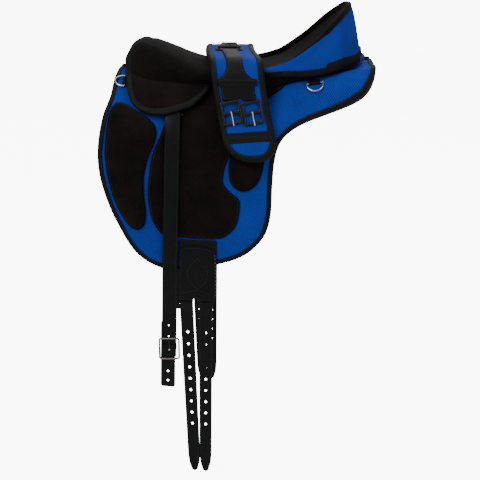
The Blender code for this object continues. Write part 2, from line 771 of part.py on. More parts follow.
def build_rim():
    """The rolled edge on the cantle's rim."""
    left = [Vector((x, -width, height)) for x, _, width, height, middle in seat_sections()
            if COVER_FRONT <= x and middle <= height]
    tip = Vector((left[-1].x + RIM_ROLL_RADIUS, 0.0, left[-1].z + RIM_ROLL_RADIUS))
    path = left + [tip] + [Vector((p.x, -p.y, p.z)) for p in left[::-1]]
    rings = []
    for index, point in enumerate(path):
        before, after = path[max(index - 1, 0)], path[min(index + 1, len(path) - 1)]
        run = (after - before).normalized()
        out = Vector((run.y, -run.x, 0.0)).normalized()
        up = run.cross(out).normalized()
        up = up if up.z > 0.0 else -up
        centre = point + up * (RIM_ROLL_RADIUS + SEAM_GAP)
        angles = [math.tau * step / WIRE_SIDES for step in range(WIRE_SIDES)]
        rings.append([centre + (out * math.cos(angle) + up * math.sin(angle)) * RIM_ROLL_RADIUS
                      for angle in angles])
    lofted("rim_roll", rings, BINDING_TAPE)


def build_cover_binding():
    """The binding round the foot of the cantle's blue cover, which rises towards its front."""
    half = []
    for x, span, rim_width, rim_height, _ in seat_sections():
        if COVER_FRONT <= x:
            foot, rim = on_pad(x, span, SEAT_EDGE), Vector((x, rim_width, rim_height))
            low = COVER_LIFT_SHARE * max(1.0 - (x - COVER_FRONT) / COVER_LIFT_RUN, 0.0)
            high = low + min(COVER_BINDING_HEIGHT / (rim - foot).length, COVER_HEIGHT_SHARE)
            half.append((wall_point(foot, rim, low), wall_point(foot, rim, high)))
    left = [tuple(Vector((p.x, -p.y, p.z)) for p in pair) for pair in half]
    path = left + half[::-1]
    rings = []
    for index, (foot, top) in enumerate(path):
        run = path[min(index + 1, len(path) - 1)][0] - path[max(index - 1, 0)][0]
        out = Vector((run.y, -run.x, 0.0)).normalized()
        near, far = out * COVER_BINDING_GAP, out * (COVER_BINDING_GAP + COVER_BINDING_THICKNESS)
        rings.append((foot + near, foot + far, top + far, top + near))
    lofted("cover_binding", rings, BINDING_TAPE)


def build_skirt(side_name, side):
    """The suede skirt that hangs from one side of the seat's front."""
    top = SEAT_HALF_SPAN * SKIRT_SEAM_SHARE + SEAM_GAP
    outline = smooth(sized(SKIRT_SHARES, (SKIRT_FRONT, top), (SKIRT_LENGTH, SKIRT_DROP)))
    draped("seat_skirt_" + side_name, outline, side_of(on_pad, side), level(SKIRT_LIFT),
           level(SKIRT_LIFT + SKIRT_THICKNESS), SUEDE)


def build_blocks(side_name, side):
    """The padded knee and thigh blocks and the suede patch between them."""
    place = side_of(on_pad, side)
    outline = smooth(sized(PATCH_SHARES, (PATCH_FRONT, PATCH_TOP), (PATCH_LENGTH, PATCH_DROP)), True)
    draped("thigh_patch_" + side_name, outline, place, level(GAP), level(GAP + PATCH_THICKNESS), SUEDE)
    for name, shares, start, size, edge, crown in (
            ("knee_block_", KNEE_SHARES, (KNEE_FRONT, KNEE_TOP), (KNEE_LENGTH, KNEE_DROP),
             KNEE_EDGE, KNEE_CROWN),
            ("thigh_block_", THIGH_SHARES, (THIGH_FRONT, THIGH_TOP), (THIGH_LENGTH, THIGH_DROP),
             THIGH_EDGE, THIGH_CROWN)):
        outline = smooth(sized(shares, start, size), True, steps=1)
        draped(name + side_name, outline, place, level(GAP),
               crowned(outline, edge, crown, size[0] / 2), SUEDE, rings=2)


def build_billets(side_name, side):
    """The webbing tab, the leather patch and the two billets of one side."""
    place = side_of(on_pad, side)
    tab = moved_by(rounded_box(TAB_LENGTH, TAB_DROP, SEAM_GAP, 1),
                   (TAB_FRONT + TAB_LENGTH / 2, TAB_TOP + TAB_DROP / 2))
    draped("billet_tab_" + side_name, tab, place, level(GAP), level(GAP + PATCH_THICKNESS), BINDING_TAPE)
    low = 2 * GAP + PATCH_THICKNESS
    outline = sized(LEATHER_PATCH_SHARES, (LEATHER_PATCH_FRONT, LEATHER_PATCH_TOP),
                    (LEATHER_PATCH_LENGTH, LEATHER_PATCH_DROP))
    draped("billet_patch_" + side_name, outline, place, level(low), level(low + LEATHER_PATCH_THICKNESS),
           LEATHER)
    end = LEATHER_PATCH_TOP + LEATHER_PATCH_DROP
    half, thick = BILLET_WIDTH / 2, BILLET_THICKNESS / 2
    for name, x, lean in BILLET_PLACES:
        top = place(x, end, low + LEATHER_PATCH_THICKNESS / 2) - Vector((0.0, 0.0, BILLET_CLEARANCE + thick))
        rows = []
        for share in BILLET_TOP_SHARES:
            angle = share * math.pi / 2
            rows.append((-thick * math.cos(angle), half, thick * math.sin(angle)))
        rows += [(BILLET_LENGTH - BILLET_TIP, half * BILLET_TAPER_SHARE, thick),
                 (BILLET_LENGTH, half * BILLET_POINT_SHARE, thick)]
        rings = [[Vector((down * lean + across * reach, out * deep, -down))
                  for across, out in ((-1, -1), (1, -1), (1, 1), (-1, 1))] for down, reach, deep in rows]
        billet = lofted("billet_" + name + "_" + side_name, rings, LEATHER)
        billet.location = top
        drops = [BILLET_FIRST_HOLE + BILLET_HOLE_PITCH * hole for hole in range(BILLET_HOLE_COUNT)]
        centres = [top + Vector((drop * lean, 0.0, -drop)) for drop in drops]
        punch(billet, centres, Vector((0.0, 1.0, 0.0)), BILLET_HOLE_RADIUS, BILLET_THICKNESS + OVERRUN)


def strap_place(side):
    """The surface that a stirrup leather follows: down the flap, then straight down."""
    def place(x, distance, lift):
        shifted = x + STIRRUP_X + (distance - RING_BAR) * STIRRUP_STRAP_LEAN
        over = distance - STIRRUP_HANG
        point = on_pad(shifted, side * min(distance, STIRRUP_HANG), lift)
        return point - Vector((0.0, 0.0, max(over, 0.0)))
    return place


def build_stirrups():
    """The webbing over the saddle, with a ring, a leather, a buckle and its tongue on each side."""
    near = RING_WIRE_RADIUS + GAP + WEBBING_THICKNESS / 2
    half = [(WEBBING_TAIL, RING_TOP_LIFT + near)]
    half += round_bar(RING_TOP, RING_TOP_LIFT, near, math.pi / 2, -math.pi)
    half += [(WEBBING_TAIL - near, WEBBING_LIFT), (0.0, WEBBING_LIFT)]
    path = half + [(-distance, lift) for distance, lift in half[-2::-1]]
    folded("stirrup_webbing", path, WEBBING_THICKNESS, WEBBING_WIDTH, STIRRUP_X, on_pad, BINDING_TAPE)
    for side_name, side in SIDES:
        place = side_of(on_pad, side)
        top, along, _, _ = frame_at(place, STIRRUP_X, RING_TOP, RING_TOP_LIFT)
        bar = place(STIRRUP_X, RING_BAR, RING_BAR_LIFT)
        along.normalize()
        skew = along * along.dot(bar - top)
        down = bar - top - skew
        outline = moved_by(rounded_box(RING_INNER_WIDTH + 2 * RING_WIRE_RADIUS, down.length, RING_CORNER),
                           (0.0, down.length / 2))
        matrix = matrix_of(top + skew / 2, along, down, outward(along, down, side))
        wire("stirrup_ring_" + side_name, outline, RING_WIRE_RADIUS, matrix, DARK_STEEL)
        build_leather(side_name, side, bar)


def build_leather(side_name, side, bar):
    """A stirrup leather with its buckle and tongue, which swing about the ring's bar."""
    place = strap_place(side)
    thick = STIRRUP_STRAP_THICKNESS
    near = RING_WIRE_RADIUS + GAP + thick / 2
    lie = STIRRUP_HANG_LIFT + thick / 2
    back = RING_BAR_LIFT - near
    path = [(STIRRUP_TAIL, back)]
    path += round_bar(RING_BAR, RING_BAR_LIFT, near, -math.pi / 2, -math.pi)
    path += [(STIRRUP_TAIL, back + thick + GAP)]
    path += [(STIRRUP_TAIL + thick, lie), (STIRRUP_HANG, lie), (STIRRUP_STRAP_END, lie)]
    leather = folded("stirrup_leather_" + side_name, path, thick, STIRRUP_STRAP_WIDTH, 0.0, place, LEATHER)
    out = Vector((0.0, float(side), 0.0))
    centres = [place(0.0, distance, lie) for distance in STIRRUP_HOLES]
    punch(leather, centres, out, STIRRUP_HOLE_RADIUS, thick + OVERRUN)
    height = BUCKLE_HEIGHT - 2 * BUCKLE_WIRE_RADIUS
    origin = place(0.0, BUCKLE_TOP, STIRRUP_HANG_LIFT + thick + GAP + BUCKLE_WIRE_RADIUS)
    matrix = matrix_of(origin, Vector((1.0, 0.0, 0.0)), Vector((0.0, 0.0, -1.0)), out)
    outline = moved_by(rounded_box(BUCKLE_WIDTH, height, BUCKLE_CORNER), (0.0, height / 2))
    buckle = wire("stirrup_buckle_" + side_name, outline, BUCKLE_WIRE_RADIUS, matrix, BRIGHT_STEEL)
    start = BUCKLE_WIRE_RADIUS + TONGUE_RADIUS + GAP
    tongue = wire("stirrup_tongue_" + side_name, [(0.0, start), (0.0, height * TONGUE_REACH_SHARE)],
                  TONGUE_RADIUS, matrix, DARK_STEEL, closed=False)
    move_origin(leather, bar)
    move_origin(buckle, bar)
    move_origin(tongue, origin)


def build_d_ring(name, matrix):
    """A D ring, which lies from its bar down the surface, and the keeper folded round its bar."""
    half = D_WIDTH / 2 - D_WIRE_RADIUS
    depth = D_DEPTH - D_WIRE_RADIUS
    points = [(-half, 0.0), (half, 0.0)]
    for step in range(1, D_STEPS):
        angle = math.pi * step / D_STEPS
        points.append((half * math.cos(angle), depth * math.sin(angle)))
    wire("d_ring_" + name, points, D_WIRE_RADIUS, matrix, BRIGHT_STEEL)
    near = D_WIRE_RADIUS + GAP + KEEPER_THICKNESS / 2
    path = [(-KEEPER_LENGTH, -near / 2)]
    path += round_bar(0.0, 0.0, near, -KEEPER_WRAP / 2, KEEPER_WRAP)
    path += [(-KEEPER_LENGTH, -near / 2 + KEEPER_THICKNESS + GAP)]
    half = KEEPER_WIDTH / 2
    rings = []
    for low, high in zip(beside(path, -KEEPER_THICKNESS / 2), beside(path, KEEPER_THICKNESS / 2)):
        corners = ((-half, *low), (half, *low), (half, *high), (-half, *high))
        rings.append([matrix @ Vector(corner) for corner in corners])
    lofted("d_keeper_" + name, rings, BINDING_TAPE)


def build_d_rings(side_name, side):
    """The front and rear D rings of one side."""
    place = side_of(on_pad, side)
    origin, along, down, out = frame_at(place, REAR_D_X, REAR_D_DROP, REAR_D_LIFT)
    build_d_ring("rear_" + side_name, matrix_of(origin, along, down, out))
    origin, along, down, out = frame_at(place, FRONT_D_X, FRONT_D_DROP, FRONT_D_LIFT)
    build_d_ring("front_" + side_name, matrix_of(origin, down, -along, out))


def girth_outline():
    """The girth's flat outline, with round ends."""
    return rounded_box(GIRTH_WIDTH, 2 * GIRTH_HALF_LENGTH, GIRTH_CORNER, 4)


def build_girth():
    """The padded girth over the seat, with its binding, straps, buckles and ring."""
    top = Vector((GIRTH_CENTRE, 0.0, GIRTH_TOP))
    edge = girth_outline()
    inner = beside(edge, GIRTH_BINDING_WIDTH + 2 * SEAM_GAP, True)
    pieces = [draped("girth_pad", inner, on_girth, level(0.0), level(GIRTH_THICKNESS), BLUE_MESH)]
    edge = with_rows(edge + edge[:1], 1)[:-1]
    pieces.append(banded("girth_binding", edge, GIRTH_BINDING_WIDTH, on_girth, -BINDING_PROUD,
                         GIRTH_THICKNESS + BINDING_PROUD, BINDING_TAPE, closed=True))
    for side_name, side in SIDES:
        pieces += build_girth_end(side_name, side)
    lift = GIRTH_THICKNESS + 2 * GAP + GIRTH_STRAP_THICKNESS + GIRTH_RING_RADIUS
    origin, along, down, out = frame_at(on_girth, GIRTH_STRAP_OFFSET, GIRTH_RING_PLACE, lift)
    ring = rounded_box(GIRTH_RING_WIDTH, GIRTH_RING_HEIGHT, 2 * GIRTH_RING_RADIUS)
    pieces.append(wire("girth_ring", moved_by(ring, (0.0, GIRTH_RING_HEIGHT / 2)), GIRTH_RING_RADIUS,
                       matrix_of(origin, along, down, out), DARK_STEEL))
    for piece in pieces:
        move_origin(piece, top)


def build_girth_end(side_name, side):
    """The leather strap and the two buckles with tongues on one half of the girth."""
    place = side_of(on_girth, side)
    low = GIRTH_THICKNESS + GAP
    narrow, wide = GIRTH_STRAP_NARROW / 2, GIRTH_STRAP_WIDE / 2
    mid = GIRTH_STRAP_OFFSET
    flare = GIRTH_STRAP_FLARE
    outline = [(mid - narrow, GIRTH_STRAP_TOP), (mid + narrow, GIRTH_STRAP_TOP),
               (mid + narrow, flare - narrow), (mid + wide, flare), (mid + wide, GIRTH_STRAP_END),
               (mid - wide, GIRTH_STRAP_END), (mid - wide, flare), (mid - narrow, flare - narrow)]
    pieces = [draped("girth_strap_" + side_name, outline, place, level(low),
                     level(low + GIRTH_STRAP_THICKNESS), LEATHER)]
    top = GIRTH_STRAP_END + GIRTH_BUCKLE_GAP
    for name, turn, proud in (("front", -1, BINDING_PROUD + SEAM_GAP), ("rear", 1, SEAM_GAP)):
        lift = low + proud + GIRTH_BUCKLE_THICKNESS / 2
        x = mid + turn * GIRTH_BUCKLE_SPACING / 2
        origin = place(x, top, lift)
        down = place(x, top + GIRTH_BUCKLE_HEIGHT, lift) - origin
        out = outward(Vector((1.0, 0.0, 0.0)), down, side)
        matrix = matrix_of(origin, down.cross(out), down, out)
        bar = GIRTH_BUCKLE_BAR
        width, height = GIRTH_BUCKLE_WIDTH, GIRTH_BUCKLE_HEIGHT
        frame = moved_by(rounded_box(width, height, bar / 2, 1), (0.0, height / 2))
        window = rounded_box(width - 2 * bar, (height - 3 * bar) / 2, bar / 3, 1)
        windows = [moved_by(window, (0.0, at)) for at in
                   (bar + (height - 3 * bar) / 4, height - bar - (height - 3 * bar) / 4)]
        pieces.append(plate("girth_buckle_" + name + "_" + side_name, frame, windows,
                            GIRTH_BUCKLE_THICKNESS, matrix, DARK_STEEL))
        half = GIRTH_TONGUE_WIDTH / 2
        root = -GIRTH_TONGUE_ROOT
        tongue = [(-half, root), (half, root), (half, GIRTH_TONGUE_LENGTH - half),
                  (0.0, GIRTH_TONGUE_LENGTH), (-half, GIRTH_TONGUE_LENGTH - half)]
        over = Vector((0.0, height / 2, GIRTH_BUCKLE_THICKNESS + GAP))
        plate("girth_tongue_" + name + "_" + side_name, tongue, (), GIRTH_BUCKLE_THICKNESS,
              matrix @ Matrix.Translation(over), BRIGHT_STEEL)
    return pieces


def clear_scene():
    """Remove every object of the scene."""
    for old in list(bpy.data.objects):
        bpy.data.objects.remove(old, do_unlink=True)


clear_scene()
PARTS = bpy.data.collections.new("treeless_saddle")
CUTTERS = bpy.data.collections.new("cutters")
bpy.context.scene.collection.children.link(PARTS)
bpy.context.scene.collection.children.link(CUTTERS)

BLUE_MESH = finish("blue_air_mesh", (0.012, 0.065, 0.35), 0.75)
SUEDE = finish("black_suede", (0.012, 0.009, 0.010), 0.95)
BINDING_TAPE = finish("black_binding", (0.012, 0.012, 0.011), 0.7)
PANEL_FELT = finish("panel_felt", (0.02, 0.02, 0.022), 0.95)
LEATHER = finish("black_leather", (0.012, 0.012, 0.012), 0.5)
STIFFENER = finish("stiffener_board", (0.05, 0.05, 0.05), 0.6)
BRIGHT_STEEL = finish("bright_steel", (0.75, 0.75, 0.76), 0.18, 1.0)
DARK_STEEL = finish("dark_steel", (0.10, 0.10, 0.11), 0.3, 1.0)

GIRTH_SAMPLES = girth_samples()
on_arch = faceted(plain_arch)
on_pad = faceted(padded_arch)
on_girth = leaning_girth(faceted(girth_point))

for SIDE_NAME, SIDE in SIDES:
    build_base(SIDE_NAME, SIDE)
    build_skirt(SIDE_NAME, SIDE)
    build_blocks(SIDE_NAME, SIDE)
    build_billets(SIDE_NAME, SIDE)
    build_d_rings(SIDE_NAME, SIDE)
build_spine()
build_stiffener("pommel_arch", POMMEL_ARCH_FRONT, POMMEL_ARCH_LENGTH, POMMEL_ARCH_HALF_SPAN)
build_stiffener("cantle_stiffener",
                BASE_FRONT + BASE_LENGTH - CANTLE_STIFFENER_INSET - CANTLE_STIFFENER_LENGTH,
                CANTLE_STIFFENER_LENGTH, CANTLE_STIFFENER_HALF_SPAN)
build_seat()
build_rim()
build_cover_binding()
build_stirrups()
build_girth()
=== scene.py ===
"""A treeless riding saddle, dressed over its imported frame.

The saddle's arch is one smooth surface. Every flat piece is an outline on it, given by the
distance along the saddle and the distance down from the ridge, and has its own thickness and
edge. +X runs to the cantle, +Y to the right side of the horse and +Z up, in metres.
"""
from __future__ import annotations

import json
import logging
import math
from dataclasses import dataclass, field
from enum import Enum
from typing import Callable, Iterable, Sequence

import bmesh
import bpy
import numpy as np
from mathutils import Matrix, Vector
from mathutils.geometry import delaunay_2d_cdt

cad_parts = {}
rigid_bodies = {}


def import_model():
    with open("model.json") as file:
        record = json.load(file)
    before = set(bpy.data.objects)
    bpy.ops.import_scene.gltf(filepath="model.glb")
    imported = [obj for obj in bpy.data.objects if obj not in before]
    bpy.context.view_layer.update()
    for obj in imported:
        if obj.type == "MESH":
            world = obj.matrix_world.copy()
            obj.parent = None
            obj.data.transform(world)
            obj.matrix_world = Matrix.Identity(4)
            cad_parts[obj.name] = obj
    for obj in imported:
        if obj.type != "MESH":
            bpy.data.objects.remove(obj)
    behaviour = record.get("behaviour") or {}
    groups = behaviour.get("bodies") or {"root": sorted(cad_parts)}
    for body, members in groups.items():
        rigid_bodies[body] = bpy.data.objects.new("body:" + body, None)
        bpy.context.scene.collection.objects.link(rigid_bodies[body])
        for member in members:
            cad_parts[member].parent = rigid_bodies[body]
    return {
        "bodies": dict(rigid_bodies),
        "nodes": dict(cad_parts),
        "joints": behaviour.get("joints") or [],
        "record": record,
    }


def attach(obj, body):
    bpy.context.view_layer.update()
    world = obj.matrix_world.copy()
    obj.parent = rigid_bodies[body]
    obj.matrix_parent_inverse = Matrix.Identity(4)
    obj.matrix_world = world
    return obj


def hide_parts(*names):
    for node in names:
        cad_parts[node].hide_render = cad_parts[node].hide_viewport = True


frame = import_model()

Array = np.ndarray
Place = Callable[..., Array]
Profile = Callable[[Array, Array, Array], tuple[Array, Array]]
Height = Callable[[Array, Array, Array], Array]
Socket = bpy.types.NodeSocket
Pair = tuple[float, float]
Table = tuple[Pair, ...]

LOG = logging.getLogger("saddle")


class Side(Enum):
    """The two sides of the horse."""

    LEFT = -1
    RIGHT = 1

    @property
    def tag(self) -> str:
        """The side's word in the names of pieces."""
        return self.name.lower()


# Curves and outlines


def smooth(points: Sequence[Sequence[float]], closed: bool = False, steps: int = 6) -> Array:
    """A smooth curve through points.

    Args:
        points: the points, each of any number of coordinates.
        closed: whether the curve runs back to its first point.
        steps: points for each span.

    Returns:
        The curve's points, one a row.
    """
    given = np.asarray(points, float)
    count = len(given)
    curve = []
    for span in range(count if closed else count - 1):
        near = [(span + k) % count if closed else min(max(span + k, 0), count - 1) for k in (-1, 0, 1, 2)]
        a, b, c, d = given[near]
        for step in range(steps):
            t = step / steps
            curve.append(0.5 * (2 * b + (c - a) * t + (2 * a - 5 * b + 4 * c - d) * t ** 2
                                + (3 * b - a - 3 * c + d) * t ** 3))
    if not closed:
        curve.append(given[-1])
    return np.array(curve)


def walked(path: Array) -> Array:
    """The distance walked along a path to each of its points."""
    return np.concatenate([[0.0], np.cumsum(np.linalg.norm(np.diff(path, axis=0), axis=1))])


def even(path: Array, spacing: float, closed: bool = False) -> Array:
    """Points at even distances along a path.

    Args:
        path: the path's points.
        spacing: the distance wanted between points.
        closed: whether the path runs back to its first point.

    Returns:
        The new points, the last one left out when the path is closed.
    """
    whole = looped(path) if closed else np.asarray(path)
    reach = walked(whole)
    count = max(int(round(reach[-1] / spacing)), 2)
    wanted = np.linspace(0.0, reach[-1], count + 1)
    points = np.stack([np.interp(wanted, reach, whole[:, k]) for k in range(whole.shape[1])], axis=1)
    return points[:-1] if closed else points


def lefts(path: Array, closed: bool = False) -> Array:
    """The direction to the left of a flat path at each of its points.

    Args:
        path: the path's points.
        closed: whether it runs back to its first point.

    Returns:
        A direction of length 1 for each point.
    """
    ahead = np.roll(path, -1, axis=0)
    behind = np.roll(path, 1, axis=0)
    if not closed:
        ahead[-1], behind[0] = path[-1], path[0]
    run = ahead - behind
    run /= np.maximum(np.linalg.norm(run, axis=1, keepdims=True), 1e-9)
    return np.stack([-run[:, 1], run[:, 0]], axis=1)


def beside(path: Array, offset: float, closed: bool = False) -> Array:
    """A flat path moved to its left by an offset."""
    return path + lefts(path, closed) * offset


def turn_of(outline: Array) -> float:
    """1 for a closed outline that has its inside to the left, and -1 for one that has it to the right."""
    area = np.sum(outline[:, 0] * np.roll(outline[:, 1], -1) - np.roll(outline[:, 0], -1) * outline[:, 1])
    return 1.0 if area > 0.0 else -1.0


def inset(outline: Array, depth: float) -> Array:
    """A closed outline drawn in by a depth, or out when the depth is negative."""
    return beside(outline, depth * turn_of(outline), True)


def looped(outline: Array) -> Array:
    """A closed outline with its first point once more at its end."""
    return np.vstack([outline, outline[:1]])


def read_off(table: Sequence[Sequence[float]], place: Array) -> Array:
    """Values read off a table of places and values."""
    return np.interp(place, *np.array(table).T)


def chart(rows: Array, columns: Array) -> Array:
    """Pattern coordinates of a grid of points, from the distances of its rows and of its columns."""
    return np.stack(np.broadcast_arrays(rows[:, None], columns), axis=-1)


def sized(shares: Sequence[Sequence[float]], start: Sequence[float], size: Sequence[float]) -> Array:
    """Points from their shares of a size, from a start."""
    return np.asarray(start) + np.asarray(shares) * np.asarray(size)


def rounded_box(width: float, height: float, corner: float, steps: int = 6) -> Array:
    """A rectangle with round corners, about its own centre.

    Args:
        width: its size across.
        height: its size down.
        corner: radius of its corners.
        steps: how many steps each corner is turned in.

    Returns:
        The outline's points, anticlockwise.
    """
    points = []
    for turn, (u, v) in enumerate(((1, 1), (-1, 1), (-1, -1), (1, -1))):
        for step in range(steps + 1):
            angle = math.pi / 2 * (turn + step / steps)
            points.append((u * (width / 2 - corner) + corner * math.cos(angle),
                           v * (height / 2 - corner) + corner * math.sin(angle)))
    return np.array(points)


def edge_distance(points: Array, outline: Array) -> Array:
    """The distance from each point to a closed outline.

    Args:
        points: the points, one a row.
        outline: the outline's points.

    Returns:
        The distance of each point.
    """
    start = outline
    run = np.roll(outline, -1, axis=0) - outline
    length = np.maximum((run ** 2).sum(axis=1), 1e-14)
    away = np.full(len(points), np.inf)
    for begin, step, size in zip(start, run, length):
        along = np.clip(((points - begin) @ step) / size, 0.0, 1.0)
        away = np.minimum(away, np.linalg.norm(points - begin - along[:, None] * step, axis=1))
    return away


def alike(*values: Array) -> Sequence[Array]:
    """Numbers and arrays as arrays of one shape."""
    return np.broadcast_arrays(*(np.asarray(value, float) for value in values))


def ramp(share: Array) -> Array:
    """A smooth step from 0 to 1."""
    share = np.clip(share, 0.0, 1.0)
    return share * share * (3.0 - 2.0 * share)


# Surfaces


@dataclass(frozen=True)
class Arch:
    """The surface on which the saddle is built."""

    half_width: float = 0.178
    rise: float = 0.13
    turn: float = math.radians(84.0)
    ridge_height: float = 0.016
    pommel_rise: float = 0.021
    pommel_reach: float = 0.27
    cantle_rise: float = 0.035
    cantle_reach: float = 0.28
    bulge_size: float = 0.026
    bulge_start: float = 0.03
    bulge_run: float = 0.09
    bulge_centre: float = 0.118
    bulge_width: float = 0.06
    table_steps: int = 400

    def lengths(self) -> tuple[Array, Array]:
        """Distances down the arch and the angle reached at each.

        Returns:
            The distances and the angles.
        """
        turns = np.linspace(0.0, self.turn, self.table_steps)
        speed = np.hypot(self.half_width * np.cos(turns), self.rise * np.sin(turns))
        steps = (speed[1:] + speed[:-1]) / 2 * np.diff(turns)
        return np.concatenate([[0.0], np.cumsum(steps)]), turns

    def bulge(self, x: Array, distance: Array) -> Array:
        """Extra padding beside the spine, under the cantle.

        Args:
            x: distance along the saddle.
            distance: distance down from the ridge.

        Returns:
            The padding's thickness at each place.
        """
        along = ramp((x - self.bulge_start) / self.bulge_run)
        across = ramp(1.0 - np.abs(distance - self.bulge_centre) / self.bulge_width)
        return self.bulge_size * along * across

    def ridge(self, x: Array) -> Array:
        """Height of the ridge line.

        Args:
            x: distance along the saddle.

        Returns:
            The height at each place.
        """
        pommel = self.pommel_rise * (x / self.pommel_reach) ** 2
        cantle = self.cantle_rise * (x / self.cantle_reach) ** 2
        return self.ridge_height + np.where(x < 0.0, pommel, cantle)

    def under(self, x: Array, distance: Array, lift: Array) -> Array:
        """Points over the plain arch.

        Args:
            x: distance along the saddle.
            distance: distance down from the ridge, negative on the left side.
            lift: distance out from the arch.

        Returns:
            The points, their last axis being x, y and z.
        """
        x, distance, lift = alike(x, distance, lift)
        side = np.where(distance < 0.0, -1.0, 1.0)
        reach = np.abs(distance)
        lengths, turns = self.lengths()
        turn = np.interp(reach, lengths, turns)
        beyond = np.maximum(reach - lengths[-1], 0.0)
        run_y, run_z = self.half_width * np.cos(turn), self.rise * np.sin(turn)
        size = np.hypot(run_y, run_z)
        run_y, run_z = run_y / size, run_z / size
        width = self.half_width * np.sin(turn) + beyond * run_y + lift * run_z
        height = self.ridge(x) - self.rise * (1.0 - np.cos(turn)) - beyond * run_z + lift * run_y
        return np.stack([x, width * side, height], axis=-1)

    def over(self, x: Array, distance: Array, lift: Array) -> Array:
        """Points over the arch with its padding under the cantle, as for the plain arch."""
        x, distance = np.asarray(x, float), np.asarray(distance, float)
        return self.under(x, distance, np.asarray(lift, float) + self.bulge(x, np.abs(distance)))


@dataclass(frozen=True)
class GirthLine:
    """The surface of the girth's underside, which drapes over the seat."""

    centre: float = -0.02
    lean: float = 0.05
    curve: float = 0.091
    half_length: float = 0.338
    half_span: float = 0.214
    top: float = 0.0545
    fall: float = 0.216
    shares: Table = (
        (0.0, 0.0), (0.3, 0.0), (0.54, 0.005), (0.64, 0.02), (0.695, 0.06), (0.72, 0.12), (0.735, 0.2),
        (0.755, 0.3), (0.79, 0.45), (0.86, 0.61), (0.925, 0.765), (0.975, 0.9), (1.0, 1.0))

    def over(self, x: Array, distance: Array, lift: Array) -> Array:
        """Points over the girth's underside.

        Args:
            x: distance from the girth's middle line, towards the cantle.
            distance: distance down from the top, negative on the left side.
            lift: distance out from the underside.

        Returns:
            The points, their last axis being x, y and z.
        """
        x, distance, lift = alike(x, distance, lift)
        line = smooth(self.shares, steps=10) * (self.half_span, -self.fall) + (0.0, self.top)
        line = even(line, 0.002)
        lengths = walked(line)
        out = lefts(line)
        kernel = np.ones(9) / 9.0
        out = np.stack([np.convolve(np.pad(out[:, k], 4, mode="edge"), kernel, "valid") for k in (0, 1)], 1)
        side = np.where(distance < 0.0, -1.0, 1.0)
        reach = np.abs(distance)
        point = [np.interp(reach, lengths, line[:, k]) + lift * np.interp(reach, lengths, out[:, k])
                 for k in (0, 1)]
        shift = -self.lean * distance + self.curve * distance ** 2 / self.half_length
        return np.stack([self.centre + x + shift, point[0] * side, point[1]], axis=-1)


def one_side(place: Place, side: Side) -> Place:
    """The same surface, with its distances counted down one side."""
    return lambda x, distance, lift: place(x, np.asarray(distance, float) * side.value, lift)


@dataclass(frozen=True)
class Spot:
    """A place with its own directions: across, down and out."""

    origin: Array
    across: Array
    down: Array
    out: Array

    @classmethod
    def of(cls, origin: Array, across: Array, down: Array, out: Array) -> "Spot":
        """A place whose across direction is kept, and whose others are squared to it.

        Args:
            origin: the place.
            across: the direction that is kept.
            down: roughly down.
            out: roughly out.

        Returns:
            The place with its directions.
        """
        across = across / np.linalg.norm(across)
        out = out - across * (out @ across)
        out = out / np.linalg.norm(out)
        if np.cross(out, across) @ down < 0.0:
            across = -across
        return cls(np.asarray(origin, float), across, np.cross(out, across), out)

    @classmethod
    def on(cls, place: Place, x: float, distance: float, lift: float, step: float = 0.001) -> "Spot":
        """A place on a surface, its out direction square to the surface.

        Args:
            place: the surface.
            x: distance along it.
            distance: distance down it.
            lift: distance out from it.
            step: distance to the points that give the directions.

        Returns:
            The place with its directions.
        """
        origin = place(x, distance, lift)
        along = place(x + step, distance, lift) - place(x - step, distance, lift)
        down = place(x, distance + step, lift) - place(x, distance - step, lift)
        out = np.cross(along, down)
        out = out if out @ (place(x, distance, lift + step) - origin) > 0.0 else -out
        return cls.of(origin, along, down, out)

    def at(self, across: Array, down: Array, out: Array) -> Array:
        """Points at distances across, down and out.

        Args:
            across: distances across.
            down: distances down.
            out: distances out.

        Returns:
            The points.
        """
        across, down, out = alike(across, down, out)
        return (self.origin + across[..., None] * self.across + down[..., None] * self.down
                + out[..., None] * self.out)


# Materials


def linear(code: str) -> tuple[float, float, float, float]:
    """The linear colour of an sRGB hex value.

    Args:
        code: the value, written #RRGGBB.

    Returns:
        Red, green and blue, and an alpha of 1.
    """
    parts = [int(code[k:k + 2], 16) / 255.0 for k in (1, 3, 5)]
    values = [part / 12.92 if part <= 0.04045 else ((part + 0.055) / 1.055) ** 2.4 for part in parts]
    return (values[0], values[1], values[2], 1.0)


def add(tree: bpy.types.NodeTree, kind: str, inputs: dict | None = None, **settings: object
        ) -> bpy.types.Node:
    """Add a node to a tree.

    Args:
        tree: the tree that it goes into.
        kind: the node's type.
        inputs: values, or sockets to link, by input name or number.
        settings: the node's own settings.

    Returns:
        The new node.
    """
    node = tree.nodes.new(kind)
    for key, value in settings.items():
        setattr(node, key, value)
    for key, value in (inputs or {}).items():
        if isinstance(value, bpy.types.NodeSocket):
            tree.links.new(value, node.inputs[key])
        else:
            node.inputs[key].default_value = value
    return node


